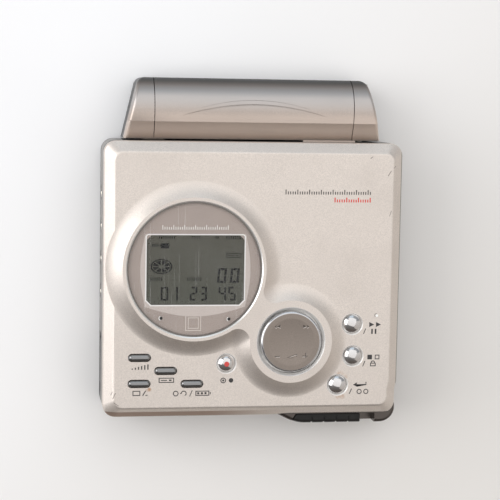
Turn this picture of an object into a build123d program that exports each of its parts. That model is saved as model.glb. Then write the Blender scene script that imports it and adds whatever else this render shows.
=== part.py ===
"""Portable minidisc recorder with a hinged lid and a clip-on battery case, in millimetres.

The origin is the middle of the flat underside of the recorder.  +X is to the right of someone
who reads the display, +Y points to the rear, where the battery case is, and +Z is up.
"""

import os
from math import atan2, cos, hypot, radians, sin, sqrt, tan

from build123d import *

# ---------------------------------------------------------------- case envelope
cartridge_width = 72.0
cartridge_depth = 68.0
side_room = 5.0  # from the cartridge to each side face
front_room = 2.3
rear_room = 5.1
corner_radius = 3.4
nose_step = 0.5  # the right side steps in by this much near the front corner
nose_length = 7.0
nose_ramp = 2.0
nose_blend = 4.0
brow_step = 0.55  # the front of the lid steps in by this much over the lock
brow_from_right = 36.5
brow_ramp = 6.5
base_height = 14.0
base_wall = 1.4
cover_thickness = 1.2
parting_gap = 0.2
lid_height = 7.0
lid_wall = 1.3
lid_side = 1.6
inner_cover_thickness = 0.8
bevel = 2.8
bevel_corner_radius = 2.4
bevel_blend = 0.8

# ---------------------------------------------------------------- raised face of the lid
mound_height = 2.2
mound_slope = 4.4  # how far the slope spreads, seen from above
mound_blend = 3.3  # radius of the two hollows between the rings
mound_foot_blend = 0.8
mound_hollow = 1.6  # 1 is a straight slope, and more makes it hollow towards its foot
mound_steps = 5
display_from_left = 24.35
display_from_rear = 34.35
display_ring_radius = 19.5
window_radius = 17.95
window_thickness = 0.9
window_depth = 0.2  # how far the window lies below the ring
trim_width = 0.4
ring_chamfer = 0.3
mask_thickness = 0.2
window_hole_places = [(-9.05, -13.15), (9.4, -13.45)]
window_hole_radius = 0.42
lcd_shift_x = 0.25
lcd_shift_y = -0.2
lcd_view_width = 26.5
lcd_view_depth = 18.9
lcd_view_chamfer = 1.3
lcd_border = 0.75
lcd_thickness = 1.5
lcd_frame_wall = 0.6
lcd_frame_chamfer = 2.8
rocker_shift_x = 26.6  # from the middle of the display
rocker_shift_y = -19.8
rocker_ring_radius = 11.4
rocker_radius = 8.4
rocker_clearance = 0.45
rocker_floor_depth = 2.4
rocker_well_chamfer = 0.65
rocker_thickness = 1.6
rocker_edge = 0.6
rocker_dish = 0.35
rocker_dish_radius = 60.0
rocker_rise = 0.5  # how far the pad stands above its ring
rocker_tilt = 4.0
rocker_stem_radius = 1.4
rocker_leg_radius = 0.7
rocker_leg_reach = 6.3
rocker_leg_hole = 1.3
rocker_tube_radius = 4.0
rocker_tube_wall = 1.2
carrier_inner = 1.8
carrier_outer = 2.9
carrier_height = 1.4
carrier_pin_radius = 0.35

# ---------------------------------------------------------------- keys
key_clearance = 0.25
key_rise = 0.9
key_travel = 0.5
key_flange = 0.6
key_seat = 0.6
red_dot_radius = 0.7
slot_key_rise = 0.7
round_key_radius = 2.4
record_key_radius = 2.2
slot_key_length = 5.8
slot_key_width = 1.8
slot_key_edge = 0.75  # nearly half round on top

# ---------------------------------------------------------------- disc and its holder
cartridge_height = 5.0
cartridge_sink = 5.8  # how far the disc's underside lies below the top of the base
cartridge_clearance = 0.1
cartridge_side_clearance = 0.3
holder_sheet = 0.4
holder_lip = 2.4
roof_ribs = [-26.0, -4.0]
head_window_left = 9.2

# ---------------------------------------------------------------- hinge
pin_radius = 0.8
pin_clearance = 0.05
ear_radius = 1.8
ear_gap = 0.3
ear_thickness = 0.5
bracket_thickness = 1.2
bracket_length = 7.5
neck_front = 2.3  # the necks stand this far in front of the hinge line
neck_rear = 0.2
seat_clearance = 0.3
hinge_rail = 6.7  # depth of the lid's solid rear edge
lip_height = 1.2

# ---------------------------------------------------------------- drive
board_level = 2.2
board_thickness = 0.8
deck_level = 4.2
deck_thickness = 0.8
spindle_shift = -0.3  # from the middle of the cartridge
spindle_motor_radius = 7.4
turntable_radius = 5.0
hub_radius = 2.0
shaft_radius = 0.75
rod_radius = 0.6
running_clearance = 0.04
rod_level = 6.1
front_rod_shift = -7.8  # from the spindle
rear_rod_shift = 9.2
tab_thickness = 1.0
tab_half = 1.2
tab_top = 7.2
rod_left = 7.7
sled_width = 11.0
sled_inner_x = 9.5
sled_travel = 16.0
sled_margin = 1.3
lens_radius = 1.5
screw_radius = 0.8
screw_level = 5.9
screw_shift = -4.1  # from the front rod
screw_gear_radius = 1.9
screw_gear_teeth = 19
pinion_radius = 0.8
pinion_teeth = 8
gear_width = 1.2
gear_left = -8.0
sled_motor_radius = 2.0
sled_motor_length = 14.0
leg_width = 4.0
leg_thickness = 0.8
leg_gap = 0.4
arm_width = 3.0
arm_sheet = 0.25
arm_pin_radius = 0.35
arm_knuckle_radius = 0.75
damper_radius = 2.0
pillar_radius = 2.0
board_post_radius = 1.6
chip_shifts = [(20.0, 20.3), (-16.0, 17.7), (26.0, 5.7)]  # from the spindle
chip_sizes = [(11.0, 11.0), (9.0, 12.0), (7.0, 5.0)]
chip_height = 0.8
spacer_radius = 1.5
pillar_top = 6.6

# ---------------------------------------------------------------- internal cell and sockets
pack_length = 67.0
pack_width = 17.0
pack_height = 6.0
pack_clearance = 0.2
door_thickness = 1.1
door_gap = 0.2
door_bottom = 1.7
door_top = 7.9
door_pin_radius = 0.35
door_knuckle_radius = 0.7
door_pocket_radius = 1.35
jack_bore_radius = 1.8
jack_nose_radius = 2.2
jack_depth = 11.0
jack_width = 6.4
jack_height = 4.5
rear_jack_from_rear = 14.9
jack_pitch = 9.0
dc_pin_radius = 0.6

# ---------------------------------------------------------------- lid lock in the front
lock_depth = 3.8  # how far the lock housing stands out of the front
lock_bottom = 5.6
lock_top_below_joint = 0.7  # from the top of the base
lock_start_from_right = 36.5
lock_full_from_right = 24.5
lock_corner = 4.3
lock_flare = 1.6  # the housing stands out this much past the side face at the corner
lock_flare_length = 5.8
lock_blend = 1.0
knob_from_right = 29.0
knob_length = 20.0
knob_travel = 4.0
knob_gap = 0.25
knob_floor = 3.0
knob_back = 1.0
knob_lean = 0.8  # the left end of the knob starts this far to the left at the front
knob_slant = 1.8  # and ends this far to the right at the back
knob_stem = 6.0
knob_stem_height = 1.6
knob_stem_below_joint = 5.0
rib_count = 4
rib_from_right = 3.0
rib_width = 0.6
rib_pitch = 3.5
rib_depth = 0.4
latch_sheet = 0.35
latch_gap = 0.15
latch_height = 3.8
latch_below_joint = 1.8
hook_shifts = [8.0, 17.0]  # from the left end of the knob
hook_width = 2.0
hook_thickness = 0.5
hook_length = 2.6  # how far the hooks reach below the lid's rim

# ---------------------------------------------------------------- clip-on battery case
case_gap = 0.5
case_end_width = 8.0
case_taper = 3.9
case_depth = 16.5
case_corner_radius = 2.4
case_edge = 1.0
case_wall = 1.0
case_bottom = 0.6
case_face_top = 14.4
case_kink_depth = 4.7
case_kink_top = 16.9
case_crown_top = 17.3
case_flank_top = 11.0
contact_room = 2.25
case_cover_front = 13.2
case_seam = 0.2
cell_radius = 7.1
cell_length = 50.5
cell_clearance = 0.1
cell_nub_radius = 2.7
cell_nub_length = 1.0
cover_pin_radius = 0.5
cover_pin_level = 3.0
cover_barrel_radius = 1.4
grip_inset = 7.3
grip_depth_from_front = 6.3
grip_rise = 2.9
grip_width = 0.45
grip_depth = 0.55
scoop_width = 1.1
scoop_share = 0.75  # length of the scoop, as a share of the groove's
scoop_depth = 0.14
case_screw_level = 6.0
case_screw_radius = 1.2
case_screw_head_radius = 2.4
bridge_left = 13.8
bridge_right = 28.5

# ---------------------------------------------------------------- fasteners
screw_head_radius = 1.5
screw_head_height = 0.7
screw_shank_radius = 0.75

# ---------------------------------------------------------------- levels and places from the above
body_width = cartridge_width + 2 * side_room
body_depth = cartridge_depth + front_room + rear_room
half_width = body_width / 2
half_depth = body_depth / 2
lid_bottom = base_height + parting_gap
cartridge_bottom = base_height - cartridge_sink
lock_top = base_height - lock_top_below_joint
knob_stem_level = base_height - knob_stem_below_joint
latch_top = base_height - latch_below_joint
latch_bottom = latch_top - latch_height
hook_bottom = lid_bottom - hook_length
lid_top = lid_bottom + lid_height
ceiling = lid_top - lid_wall
mound_top = lid_top + mound_height
hinge_radius = lid_height / 2
hinge_y = half_depth - hinge_radius
hinge_z = lid_bottom + hinge_radius
seat_radius = hinge_radius + seat_clearance
bevel_start = lid_top - bevel
inner_x = half_width - base_wall
inner_y = half_depth - base_wall
cartridge_top = cartridge_bottom + cartridge_height
cartridge_rear = half_depth - rear_room
cartridge_front = cartridge_rear - cartridge_depth
holder_inner_x = cartridge_width / 2 + cartridge_side_clearance
holder_outer_x = holder_inner_x + ear_thickness
holder_roof = cartridge_top + cartridge_clearance
holder_top = holder_roof + holder_sheet
holder_floor = cartridge_bottom - cartridge_clearance
holder_bottom = holder_floor - holder_sheet
bracket_inner_x = holder_outer_x + ear_gap
bracket_outer_x = bracket_inner_x + bracket_thickness
boss_inner_x = bracket_outer_x + ear_gap
pin_inner_x = holder_inner_x - 0.1
pin_outer_x = inner_x + 0.3
window_top = mound_top - window_depth
window_bottom = window_top - window_thickness
mask_bottom = window_bottom - mask_thickness
trim_radius = window_radius + trim_width
lcd_top = mask_bottom - 0.05
lcd_bottom = lcd_top - lcd_thickness
lcd_width = lcd_view_width + 2 * lcd_border
lcd_depth = lcd_view_depth + 2 * lcd_border
lcd_frame_width = lcd_width + 2 * lcd_frame_wall
lcd_frame_depth = lcd_depth + 2 * lcd_frame_wall
inner_cover_level = lid_bottom + 0.3
key_board_level = lid_bottom + 1.6
key_board_top = key_board_level + board_thickness
dome_top = key_board_top + 1.0
flange_top = ceiling - 0.1
flange_bottom = flange_top - key_flange
key_top = lid_top + key_rise
key_foot = dome_top + key_travel + 0.1
rocker_top = mound_top + rocker_rise
rocker_bottom = rocker_top - rocker_thickness
rocker_floor = mound_top - rocker_floor_depth
rocker_axis_z = ceiling - carrier_height / 2 - 0.1
case_front = half_depth + case_gap
case_rear = case_front + case_depth
case_kink_y = case_front + case_kink_depth
cell_y = case_front + case_wall + cell_clearance + cell_radius
cell_z = case_bottom + case_wall + cell_clearance + cell_radius
cover_pin_y = case_rear - cover_barrel_radius
case_cover_half = cell_length / 2 + contact_room
case_half_width = case_cover_half + case_end_width
case_rear_half_width = case_half_width - case_taper
case_screw_x = case_cover_half + case_end_width / 2 - 0.5
grip_half = case_cover_half - grip_inset
grip_y = case_front + grip_depth_from_front
pack_left = -inner_x + 0.6
pack_right = pack_left + pack_length
pack_front = -inner_y + 1.4
pack_rear = pack_front + pack_width
pack_level = cover_thickness + pack_clearance
pack_middle = pack_level + pack_height / 2
door_front = pack_front - 0.4
door_pin_x = -half_width + door_thickness - 0.3
door_pin_y = pack_rear + 0.6
door_rear = door_pin_y - door_knuckle_radius - 0.2
jack_places = [half_depth - rear_jack_from_rear - index * jack_pitch for index in range(3)]
dc_jack_y = jack_places[-1] - jack_pitch - 0.3
board_front = pack_rear + 1.2
board_top = board_level + board_thickness
jack_z = board_top + jack_height / 2
spindle_y = (cartridge_front + cartridge_rear) / 2 + spindle_shift
front_rod_y = spindle_y + front_rod_shift
rear_rod_y = spindle_y + rear_rod_shift
screw_y = front_rod_y + screw_shift
deck_left = -inner_x + jack_depth + 1.6
deck_front = pack_rear + 0.6
deck_top = deck_level + deck_thickness
deck_right = inner_x - 0.8
deck_rear = inner_y - 2.8
damper_places = [
    (deck_left + 3.0, deck_front + 2.8),
    (inner_x - 4.4, rear_rod_y + 6.5),
    (deck_left + 3.0, deck_rear - 3.5),
    (rod_left - 1.7, deck_rear - 3.5),
]
base_screw_places = [
    (-inner_x + 3.6, inner_y - 1.7),
    (inner_x - 3.6, inner_y - 1.7),
    (inner_x - 3.8, -inner_y + 1.7),
    (-inner_x + 1.7, pack_rear + 4.6),
]
board_post_places = [
    (deck_left + 3.0, spindle_y),
    (inner_x - 15.0, spindle_y),
    (deck_left + 12.0, inner_y - 10.0),
    (inner_x - 19.0, inner_y - 10.0),
]
sled_bottom = deck_top + 0.3
sled_top = rod_level + 1.1
sled_x = sled_inner_x + sled_width / 2
sled_front = front_rod_y - sled_margin
sled_rear = rear_rod_y + sled_margin
leg_front = cartridge_rear + leg_gap
arm_pin_y = leg_front + leg_thickness / 2
arm_pin_z = cartridge_top - 0.2
motor_right = gear_left - 0.5
screw_tab_left = gear_left + gear_width + 0.4
motor_y = screw_y + screw_gear_radius + pinion_radius
half_tooth = 180 / pinion_teeth
turntable_top = cartridge_bottom + 0.2
turntable_bottom = turntable_top - 1.0
lock_front = half_depth + lock_depth
lock_start_x = half_width - lock_start_from_right
lock_full_x = half_width - lock_full_from_right
knob_left = half_width - knob_from_right
hook_places = [knob_left + shift for shift in hook_shifts]
knob_z0 = lock_bottom + knob_floor + knob_gap
pocket_back = half_depth + knob_back
latch_rear = inner_y - latch_gap
lug_inner = hook_width / 2 + 0.3  # the lug stands just right of its hook
lug_outer = lug_inner + 0.5

# ---------------------------------------------------------------- places on the lid
display_x = -half_width + display_from_left
display_y = half_depth - display_from_rear
lcd_x = display_x + lcd_shift_x
lcd_y = display_y + lcd_shift_y
rocker_x = display_x + rocker_shift_x
rocker_y = display_y + rocker_shift_y
round_key_places = {
    "play_button": (half_width - 13.6, rocker_y + 4.4),
    "stop_button": (half_width - 13.25, rocker_y - 4.5),
    "enter_button": (half_width - 17.4, rocker_y - 12.55),
}
record_place = (rocker_x - 17.45, rocker_y - 6.25)
slot_key_places = {
    "bass_key": (-half_width + 9.75, -half_depth + 16.8),
    "edit_key": (-half_width + 9.7, -half_depth + 9.65),
    "display_key": (-half_width + 16.9, -half_depth + 13.15),
    "mode_key": (-half_width + 24.1, -half_depth + 9.5),
}
lid_screw_rows = (-half_depth + 4.5, half_depth - hinge_rail - 3.0)
lid_screw_places = [(side * (half_width - 6.0), y) for y in lid_screw_rows for side in (-1, 1)]
spacer_rows = (-half_depth + 5.7, half_depth - hinge_rail - 7.0)
spacer_places = [(side * (half_width - 11.0), y) for y in spacer_rows for side in (-1, 1)]


def save(piece, node):
    """Labels one finished piece and writes its STEP file."""
    piece.label = node
    export_step(piece, f"parts/{node}.step")


def upright(x, y):
    """A vertical drawing plane through (x, y) whose first direction is +X and second is +Z."""
    return Plane((x, y, 0), x_dir=(1, 0, 0), z_dir=(0, -1, 0))


def body_outline(level, inset=0.0, radius=corner_radius):
    """The rounded plan of the recorder at one height, shrunk by inset."""
    step_y = -half_depth + nose_length
    left, right = -half_width + inset, half_width - inset
    front, rear = -half_depth + inset, half_depth - inset
    with BuildSketch(Plane.XY.offset(level)) as outline:
        with BuildLine():
            Polyline(
                (left, front),
                (right - nose_step, front),
                (right - nose_step, step_y),
                (right, step_y + nose_ramp),
                (right, rear),
                (left, rear),
                close=True,
            )
        make_face()
        bends = outline.vertices().filter_by(lambda v: front + 0.1 < v.Y < rear - 0.1)
        fillet(bends, nose_blend)
        corners = outline.vertices().filter_by(lambda v: not front + 0.1 < v.Y < rear - 0.1)
        fillet(corners, radius)
    return outline.sketch


def ring_outline(level, grow, blend):
    """The plan of the raised rings: two circles joined by a neck with hollow, rounded sides."""
    with BuildSketch(Plane.XY.offset(level)) as rings:
        with BuildLine() as loop:
            big = display_ring_radius + grow
            small = rocker_ring_radius + grow
            dx, dy = rocker_x - display_x, rocker_y - display_y
            gap = hypot(dx, dy)
            along = (gap**2 + (big + blend) ** 2 - (small + blend) ** 2) / (2 * gap)
            side = sqrt((big + blend) ** 2 - along**2)
            ux, uy = dx / gap, dy / gap
            foot_x, foot_y = display_x + along * ux, display_y + along * uy
            centres = [(foot_x - s * side * uy, foot_y + s * side * ux) for s in (1, -1)]
            on_big = [_between((display_x, display_y), c, big / (big + blend)) for c in centres]
            on_small = [_between((rocker_x, rocker_y), c, small / (small + blend)) for c in centres]
            on_blend = [_toward(c, (foot_x, foot_y), blend) for c in centres]
            ThreePointArc(on_big[0], (display_x - big * ux, display_y - big * uy), on_big[1])
            ThreePointArc(on_big[1], on_blend[1], on_small[1])
            ThreePointArc(on_small[1], (rocker_x + small * ux, rocker_y + small * uy), on_small[0])
            ThreePointArc(on_small[0], on_blend[0], on_big[0])
        make_face()
    return rings.sketch


def _between(a, b, share):
    """The point that lies share of the way from a to b."""
    return (a[0] + (b[0] - a[0]) * share, a[1] + (b[1] - a[1]) * share)


def _toward(a, b, length):
    """The point at that length from a, towards b."""
    return _between(a, b, length / hypot(b[0] - a[0], b[1] - a[1]))


def across(x):
    """A drawing plane facing +X at x, whose first direction is +Y and second is +Z."""
    return Plane((x, 0, 0), x_dir=(0, 1, 0), z_dir=(1, 0, 0))


def block(low, high, mode=Mode.ADD):
    """A box between two corners, in the open builder."""
    with Locations(tuple((a + b) / 2 for a, b in zip(low, high))):
        Box(*(b - a for a, b in zip(low, high)), mode=mode)


def rod_x(x0, x1, y, z, radius, mode=Mode.ADD):
    """A cylinder along X from x0 to x1."""
    with Locations(Location(((x0 + x1) / 2, y, z), (0, 90, 0))):
        Cylinder(radius, abs(x1 - x0), mode=mode)


def rod_y(x, y0, y1, z, radius, mode=Mode.ADD):
    """A cylinder along Y from y0 to y1."""
    with Locations(Location((x, (y0 + y1) / 2, z), (90, 0, 0))):
        Cylinder(radius, abs(y1 - y0), mode=mode)


def rod_z(x, y, z0, z1, radius, mode=Mode.ADD):
    """A cylinder along Z from z0 to z1."""
    with Locations((x, y, (z0 + z1) / 2)):
        Cylinder(radius, abs(z1 - z0), mode=mode)


def both_sides(x0, x1):
    """The same stretch along X on the right and on the left."""
    return [(x0, x1), (-x1, -x0)]


# ================================================================ recorder base
def make_base_frame():
    """The walls of the base, with the hinge lip, the lock housing and the wall openings."""
    wall_bottom = cover_thickness
    with BuildPart() as base_frame:
        extrude(body_outline(wall_bottom), amount=base_height + lip_height - wall_bottom)
        extrude(body_outline(wall_bottom, base_wall), amount=base_height + lip_height, mode=Mode.SUBTRACT)
        block(
            (-body_width, -body_depth, base_height),
            (body_width, hinge_y + 1.0, base_height + 5.0),
            Mode.SUBTRACT,
        )
        rod_x(-body_width, body_width, hinge_y, hinge_z, seat_radius, Mode.SUBTRACT)
        for x0, x1 in both_sides(bracket_outer_x, inner_x + 0.1):
            block((x0, hinge_y - bracket_length, wall_bottom), (x1, inner_y + 0.1, base_height - 0.3))
        for x, y in base_screw_places:
            rod_z(x, y, wall_bottom, pillar_top, pillar_radius)
            rod_z(x, y, wall_bottom, pillar_top - 1.0, screw_shank_radius, Mode.SUBTRACT)
        with BuildSketch(Plane.XY.offset(lock_bottom)):
            add(lock_outline(0.0))
        extrude(amount=lock_top - lock_bottom)
        edges = base_frame.edges().filter_by(lambda e: e.bounding_box().max.Y < -half_depth - 0.05)
        fillet(edges.filter_by(lambda e: e.bounding_box().size.Z < 0.01), lock_blend)
        with BuildSketch(Plane.XY.offset(lock_bottom + knob_floor)):
            add(knob_plan(knob_gap, knob_travel))
        extrude(amount=lock_top, mode=Mode.SUBTRACT)
        stem_x = knob_left + knob_length / 2
        block(
            (stem_x - knob_stem / 2 - knob_gap, -half_depth - 2.0, knob_stem_level - knob_gap),
            (
                stem_x + knob_stem / 2 + knob_travel + knob_gap,
                -inner_y + 1.0,
                knob_stem_level + knob_stem_height + knob_gap,
            ),
            Mode.SUBTRACT,
        )
        for x in hook_places:
            block(
                (x - hook_width, -inner_y - hook_thickness - 0.4, hook_bottom - 0.5),
                (x + lug_outer + knob_travel + knob_gap, -inner_y + 0.1, base_height + 1.0),
                Mode.SUBTRACT,
            )
        cut_left_wall()
        rod_y(
            case_screw_x,
            inner_y - 1.0,
            half_depth + 1.0,
            case_screw_level,
            case_screw_radius,
            Mode.SUBTRACT,
        )
    save(base_frame.part, "base_frame")


def cut_left_wall():
    """The jack holes, the socket hole and the battery doorway, cut in the open builder."""
    for y in jack_places:
        rod_x(-half_width - 1.0, -inner_x + 0.5, y, jack_z, jack_nose_radius, Mode.SUBTRACT)
    rod_x(-half_width - 1.0, -inner_x + 0.5, dc_jack_y, jack_z, jack_nose_radius, Mode.SUBTRACT)
    block(
        (-half_width - 1.0, door_front - door_gap, door_bottom - door_gap),
        (-inner_x + 0.1, door_pin_y, door_top + door_gap),
        Mode.SUBTRACT,
    )
    pocket_bottom, pocket_top = door_bottom - door_gap, door_top + door_gap
    rod_z(door_pin_x, door_pin_y, pocket_bottom, pocket_top, door_pocket_radius, Mode.SUBTRACT)
    rod_z(door_pin_x, door_pin_y, door_bottom - 0.5, door_top + 0.9, door_pin_radius, Mode.SUBTRACT)


def lock_outline(inset):
    """The plan of the lock housing: swept out of the front wall, and bulging round the right corner."""
    left, full = lock_start_x + inset, lock_full_x + inset
    side = half_width - nose_step  # the side face beside the housing
    flare = side + lock_flare - inset
    front = -lock_front + inset
    right, bulge = flare - lock_corner, front + lock_corner
    end = bulge + lock_flare_length
    with BuildSketch(mode=Mode.PRIVATE) as outline:
        with BuildLine():
            Spline((left, -half_depth), (full, front), tangents=((1, -0.12), (1, 0)))
            Line((full, front), (right, front))
            RadiusArc((right, front), (flare, bulge), -lock_corner)
            Spline((flare, bulge), (side, end), tangents=((0, 1), (-0.12, 1)))
            within = side - base_wall + 0.2
            Polyline(
                (side, end),
                (within, end),
                (within, -half_depth + corner_radius),
                (side - corner_radius - base_wall, -inner_y - 0.1),
                (left, -inner_y - 0.1),
                (left, -half_depth),
            )
        make_face()
    return outline.sketch


def knob_plan(gap=0.0, run=0.0):
    """The plan of the knob with its slanted left end, or of its pocket: wider by a gap, longer by a run."""
    front, back = -lock_front - 1.0, gap - pocket_back - knob_gap
    left, right = knob_left - gap, knob_left + knob_length + run + gap
    with BuildSketch(mode=Mode.PRIVATE) as plan:
        with BuildLine():
            Polyline(
                (left - knob_lean, front), (right, front), (right, back), (left + knob_slant, back), close=True
            )
        make_face()
    return plan.sketch


def make_bottom_cover():
    """The flat bottom plate, with recesses for its screws and posts under the circuit board."""
    with BuildPart() as bottom_cover:
        extrude(body_outline(0), amount=cover_thickness)
        edges = bottom_cover.edges().filter_by(lambda e: e.bounding_box().max.Z < 0.01)
        chamfer(edges, 0.4)
        for x, y in base_screw_places:
            rod_z(x, y, 0, cover_thickness, screw_shank_radius + 0.1, Mode.SUBTRACT)
            rod_z(x, y, -0.1, screw_head_height + 0.1, screw_head_radius + 0.1, Mode.SUBTRACT)
        for x, y in board_post_places:
            rod_z(x, y, cover_thickness, board_level, board_post_radius)
    save(bottom_cover.part, "bottom_cover")


def make_base_screws():
    """The four crosshead screws that hold the bottom plate."""
    with BuildPart() as base_screws:
        for x, y in base_screw_places:
            rod_z(x, y, 0.1, screw_head_height + 0.1, screw_head_radius)
            rod_z(x, y, 0.1, pillar_top - 1.2, screw_shank_radius)
            block((x - 1.0, y - 0.2, 0), (x + 1.0, y + 0.2, 0.5), Mode.SUBTRACT)
            block((x - 0.2, y - 1.0, 0), (x + 0.2, y + 1.0, 0.5), Mode.SUBTRACT)
    save(base_screws.part, "base_screws")


def make_main_board():
    """The circuit board under the drive."""
    with BuildPart() as main_board:
        block((-inner_x + 0.4, board_front, board_level), (inner_x - 0.6, inner_y - 0.6, board_top))
        for x, y in damper_places:
            rod_z(x, y, board_level, board_top, damper_radius + 0.4, Mode.SUBTRACT)
        for x, y in base_screw_places:
            block(
                (x - pillar_radius - 0.8, y - pillar_radius - 0.8, board_level),
                (x + pillar_radius + 0.8, y + pillar_radius + 0.8, board_top),
                Mode.SUBTRACT,
            )
        for x0, x1 in both_sides(bracket_outer_x - 0.4, inner_x):
            block(
                (x0, hinge_y - bracket_length - 0.4, board_level), (x1, inner_y, board_top), Mode.SUBTRACT
            )
    save(main_board.part, "main_board")


def make_board_chips():
    """The flat chips on top of the circuit board."""
    with BuildPart() as board_chips:
        for (x, y), (width, depth) in zip(chip_shifts, chip_sizes):
            y += spindle_y
            block(
                (x - width / 2, y - depth / 2, board_top),
                (x + width / 2, y + depth / 2, board_top + chip_height),
            )
    save(board_chips.part, "board_chips")


def make_audio_jacks():
    """The three alike 3.5 mm sockets with their noses in the left wall."""
    with BuildPart() as audio_jacks:
        for y in jack_places:
            block(
                (-inner_x + 0.1, y - jack_width / 2, board_top),
                (-inner_x + 0.1 + jack_depth, y + jack_width / 2, board_top + jack_height),
            )
            rod_x(-half_width, -inner_x + 1.0, y, jack_z, jack_nose_radius)
            rod_x(-half_width - 1.0, -half_width + jack_depth, y, jack_z, jack_bore_radius, Mode.SUBTRACT)
    save(audio_jacks.part, "audio_jacks")


def make_dc_jack():
    """The power socket with its centre pin, in the left wall."""
    with BuildPart() as dc_jack:
        block(
            (-inner_x + 0.1, dc_jack_y - jack_width / 2, board_top),
            (-inner_x + 0.1 + jack_depth, dc_jack_y + jack_width / 2, board_top + jack_height),
        )
        rod_x(-half_width, -inner_x + 1.0, dc_jack_y, jack_z, jack_nose_radius)
        rod_x(-half_width - 1.0, -half_width + 8.0, dc_jack_y, jack_z, jack_bore_radius, Mode.SUBTRACT)
        rod_x(-half_width + 0.8, -half_width + 9.0, dc_jack_y, jack_z, dc_pin_radius)
    save(dc_jack.part, "dc_jack")


def make_battery_pack():
    """The flat rechargeable cell across the front of the base."""
    with BuildPart() as battery_pack:
        block((pack_left, pack_front, pack_level), (pack_right, pack_rear, pack_level + pack_height))
        fillet(battery_pack.edges().filter_by(Axis.X), 1.2)
        rod_x(pack_right, pack_right + 0.5, (pack_front + pack_rear) / 2, pack_middle, 1.6)
    save(battery_pack.part, "battery_pack")


def make_pack_contacts():
    """The block with the spring contact at the inner end of the flat cell."""
    middle_y = (pack_front + pack_rear) / 2
    with BuildPart() as pack_contacts:
        block((pack_right + 1.6, middle_y - 6.0, cover_thickness), (pack_right + 3.2, middle_y + 6.0, 7.0))
        block(
            (pack_right + 0.5, middle_y - 1.5, pack_middle - 1.5),
            (pack_right + 1.6, middle_y + 1.5, pack_middle + 1.5),
        )
    save(pack_contacts.part, "pack_contacts")


def make_battery_door():
    """The door in the left wall, with its knuckle round an upright pin."""
    with BuildPart() as battery_door:
        block((-half_width, door_front, door_bottom), (-half_width + door_thickness, door_rear, door_top))
        edges = battery_door.edges().filter_by(lambda e: e.bounding_box().max.X < -half_width + 0.01)
        fillet(edges.filter_by(Axis.Z).sort_by(Axis.Y)[0], 0.5)
        knuckle_bottom, knuckle_top = door_bottom + 0.8, door_top - 0.8
        rod_z(door_pin_x, door_pin_y, knuckle_bottom, knuckle_top, door_knuckle_radius)
        block(
            (door_pin_x - door_knuckle_radius + 0.2, door_rear - 0.2, knuckle_bottom),
            (door_pin_x + 0.3, door_pin_y, knuckle_top),
        )
        rod_z(door_pin_x, door_pin_y, 0, base_height, door_pin_radius + running_clearance, Mode.SUBTRACT)
        middle_y = door_front + 3.5
        block(
            (-half_width - 0.1, middle_y - 1.5, 3.6),
            (-half_width + 0.4, middle_y + 1.5, 6.0),
            Mode.SUBTRACT,
        )
    save(battery_door.part, "battery_door")


def make_door_pin():
    """The upright pin of the battery door."""
    with BuildPart() as door_pin:
        rod_z(door_pin_x, door_pin_y, door_bottom - 0.5, door_top + 0.9, door_pin_radius)
    save(door_pin.part, "door_pin")


def make_hinge_brackets():
    """The two steel brackets whose ears carry the lid and the disc holder."""
    with BuildPart() as hinge_brackets:
        for x0, x1 in both_sides(bracket_inner_x, bracket_outer_x):
            block((x0, hinge_y - bracket_length, pillar_top + 0.8), (x1, inner_y - 1.3, base_height - 0.4))
            block((x0, hinge_y - neck_front + 0.4, base_height - 1.0), (x1, hinge_y - neck_rear, hinge_z))
            rod_x(x0, x1, hinge_y, hinge_z, ear_radius)
            rod_x(x0 - 1.0, x1 + 1.0, hinge_y, hinge_z, pin_radius, Mode.SUBTRACT)
    save(hinge_brackets.part, "hinge_brackets")


def make_hinge_pins():
    """The two hinge pins, fixed in the brackets."""
    with BuildPart() as hinge_pins:
        for x0, x1 in both_sides(pin_inner_x, pin_outer_x):
            rod_x(x0, x1, hinge_y, hinge_z, pin_radius)
    save(hinge_pins.part, "hinge_pins")


# ================================================================ drive
def make_deck_chassis():
    """The steel plate of the drive, with the tabs that hold the rods and the screw."""
    with BuildPart() as deck_chassis:
        block((deck_left, deck_front, deck_level), (deck_right, deck_rear, deck_top))
        rod_z(0, spindle_y, deck_level, deck_top, spindle_motor_radius, Mode.SUBTRACT)
        block(
            (motor_right - sled_motor_length - 0.3, motor_y - sled_motor_radius - 0.1, deck_level),
            (motor_right + 0.3, motor_y + sled_motor_radius + 0.1, deck_top),
            Mode.SUBTRACT,
        )
        block(
            (gear_left - 0.3, screw_y - screw_gear_radius - 0.3, deck_level),
            (gear_left + gear_width + 0.3, motor_y + 1.0, deck_top),
            Mode.SUBTRACT,
        )
        for y in (front_rod_y, rear_rod_y):
            block((rod_left, y - tab_half, deck_level), (rod_left + tab_thickness, y + tab_half, tab_top))
            block(
                (deck_right - tab_thickness, y - tab_half, deck_level), (deck_right, y + tab_half, tab_top)
            )
            rod_x(rod_left - 1.0, deck_right + 1.0, y, rod_level, rod_radius, Mode.SUBTRACT)
        block(
            (screw_tab_left, screw_y - tab_half, deck_level),
            (screw_tab_left + tab_thickness, screw_y + tab_half, tab_top),
        )
        block(
            (deck_right - tab_thickness, screw_y - tab_half, deck_level),
            (deck_right, screw_y + tab_half, tab_top),
        )
        rod_x(
            gear_left,
            deck_right + 1.0,
            screw_y,
            screw_level,
            screw_radius + running_clearance,
            Mode.SUBTRACT,
        )
        for x, y in damper_places:
            rod_z(x, y, deck_level - 1.0, deck_top + 1.0, screw_shank_radius, Mode.SUBTRACT)
        notch_left = bracket_inner_x - 3.8
        block(
            (notch_left, hinge_y - bracket_length - 0.4, deck_level),
            (inner_x, inner_y, deck_top),
            Mode.SUBTRACT,
        )
    save(deck_chassis.part, "deck_chassis")


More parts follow.
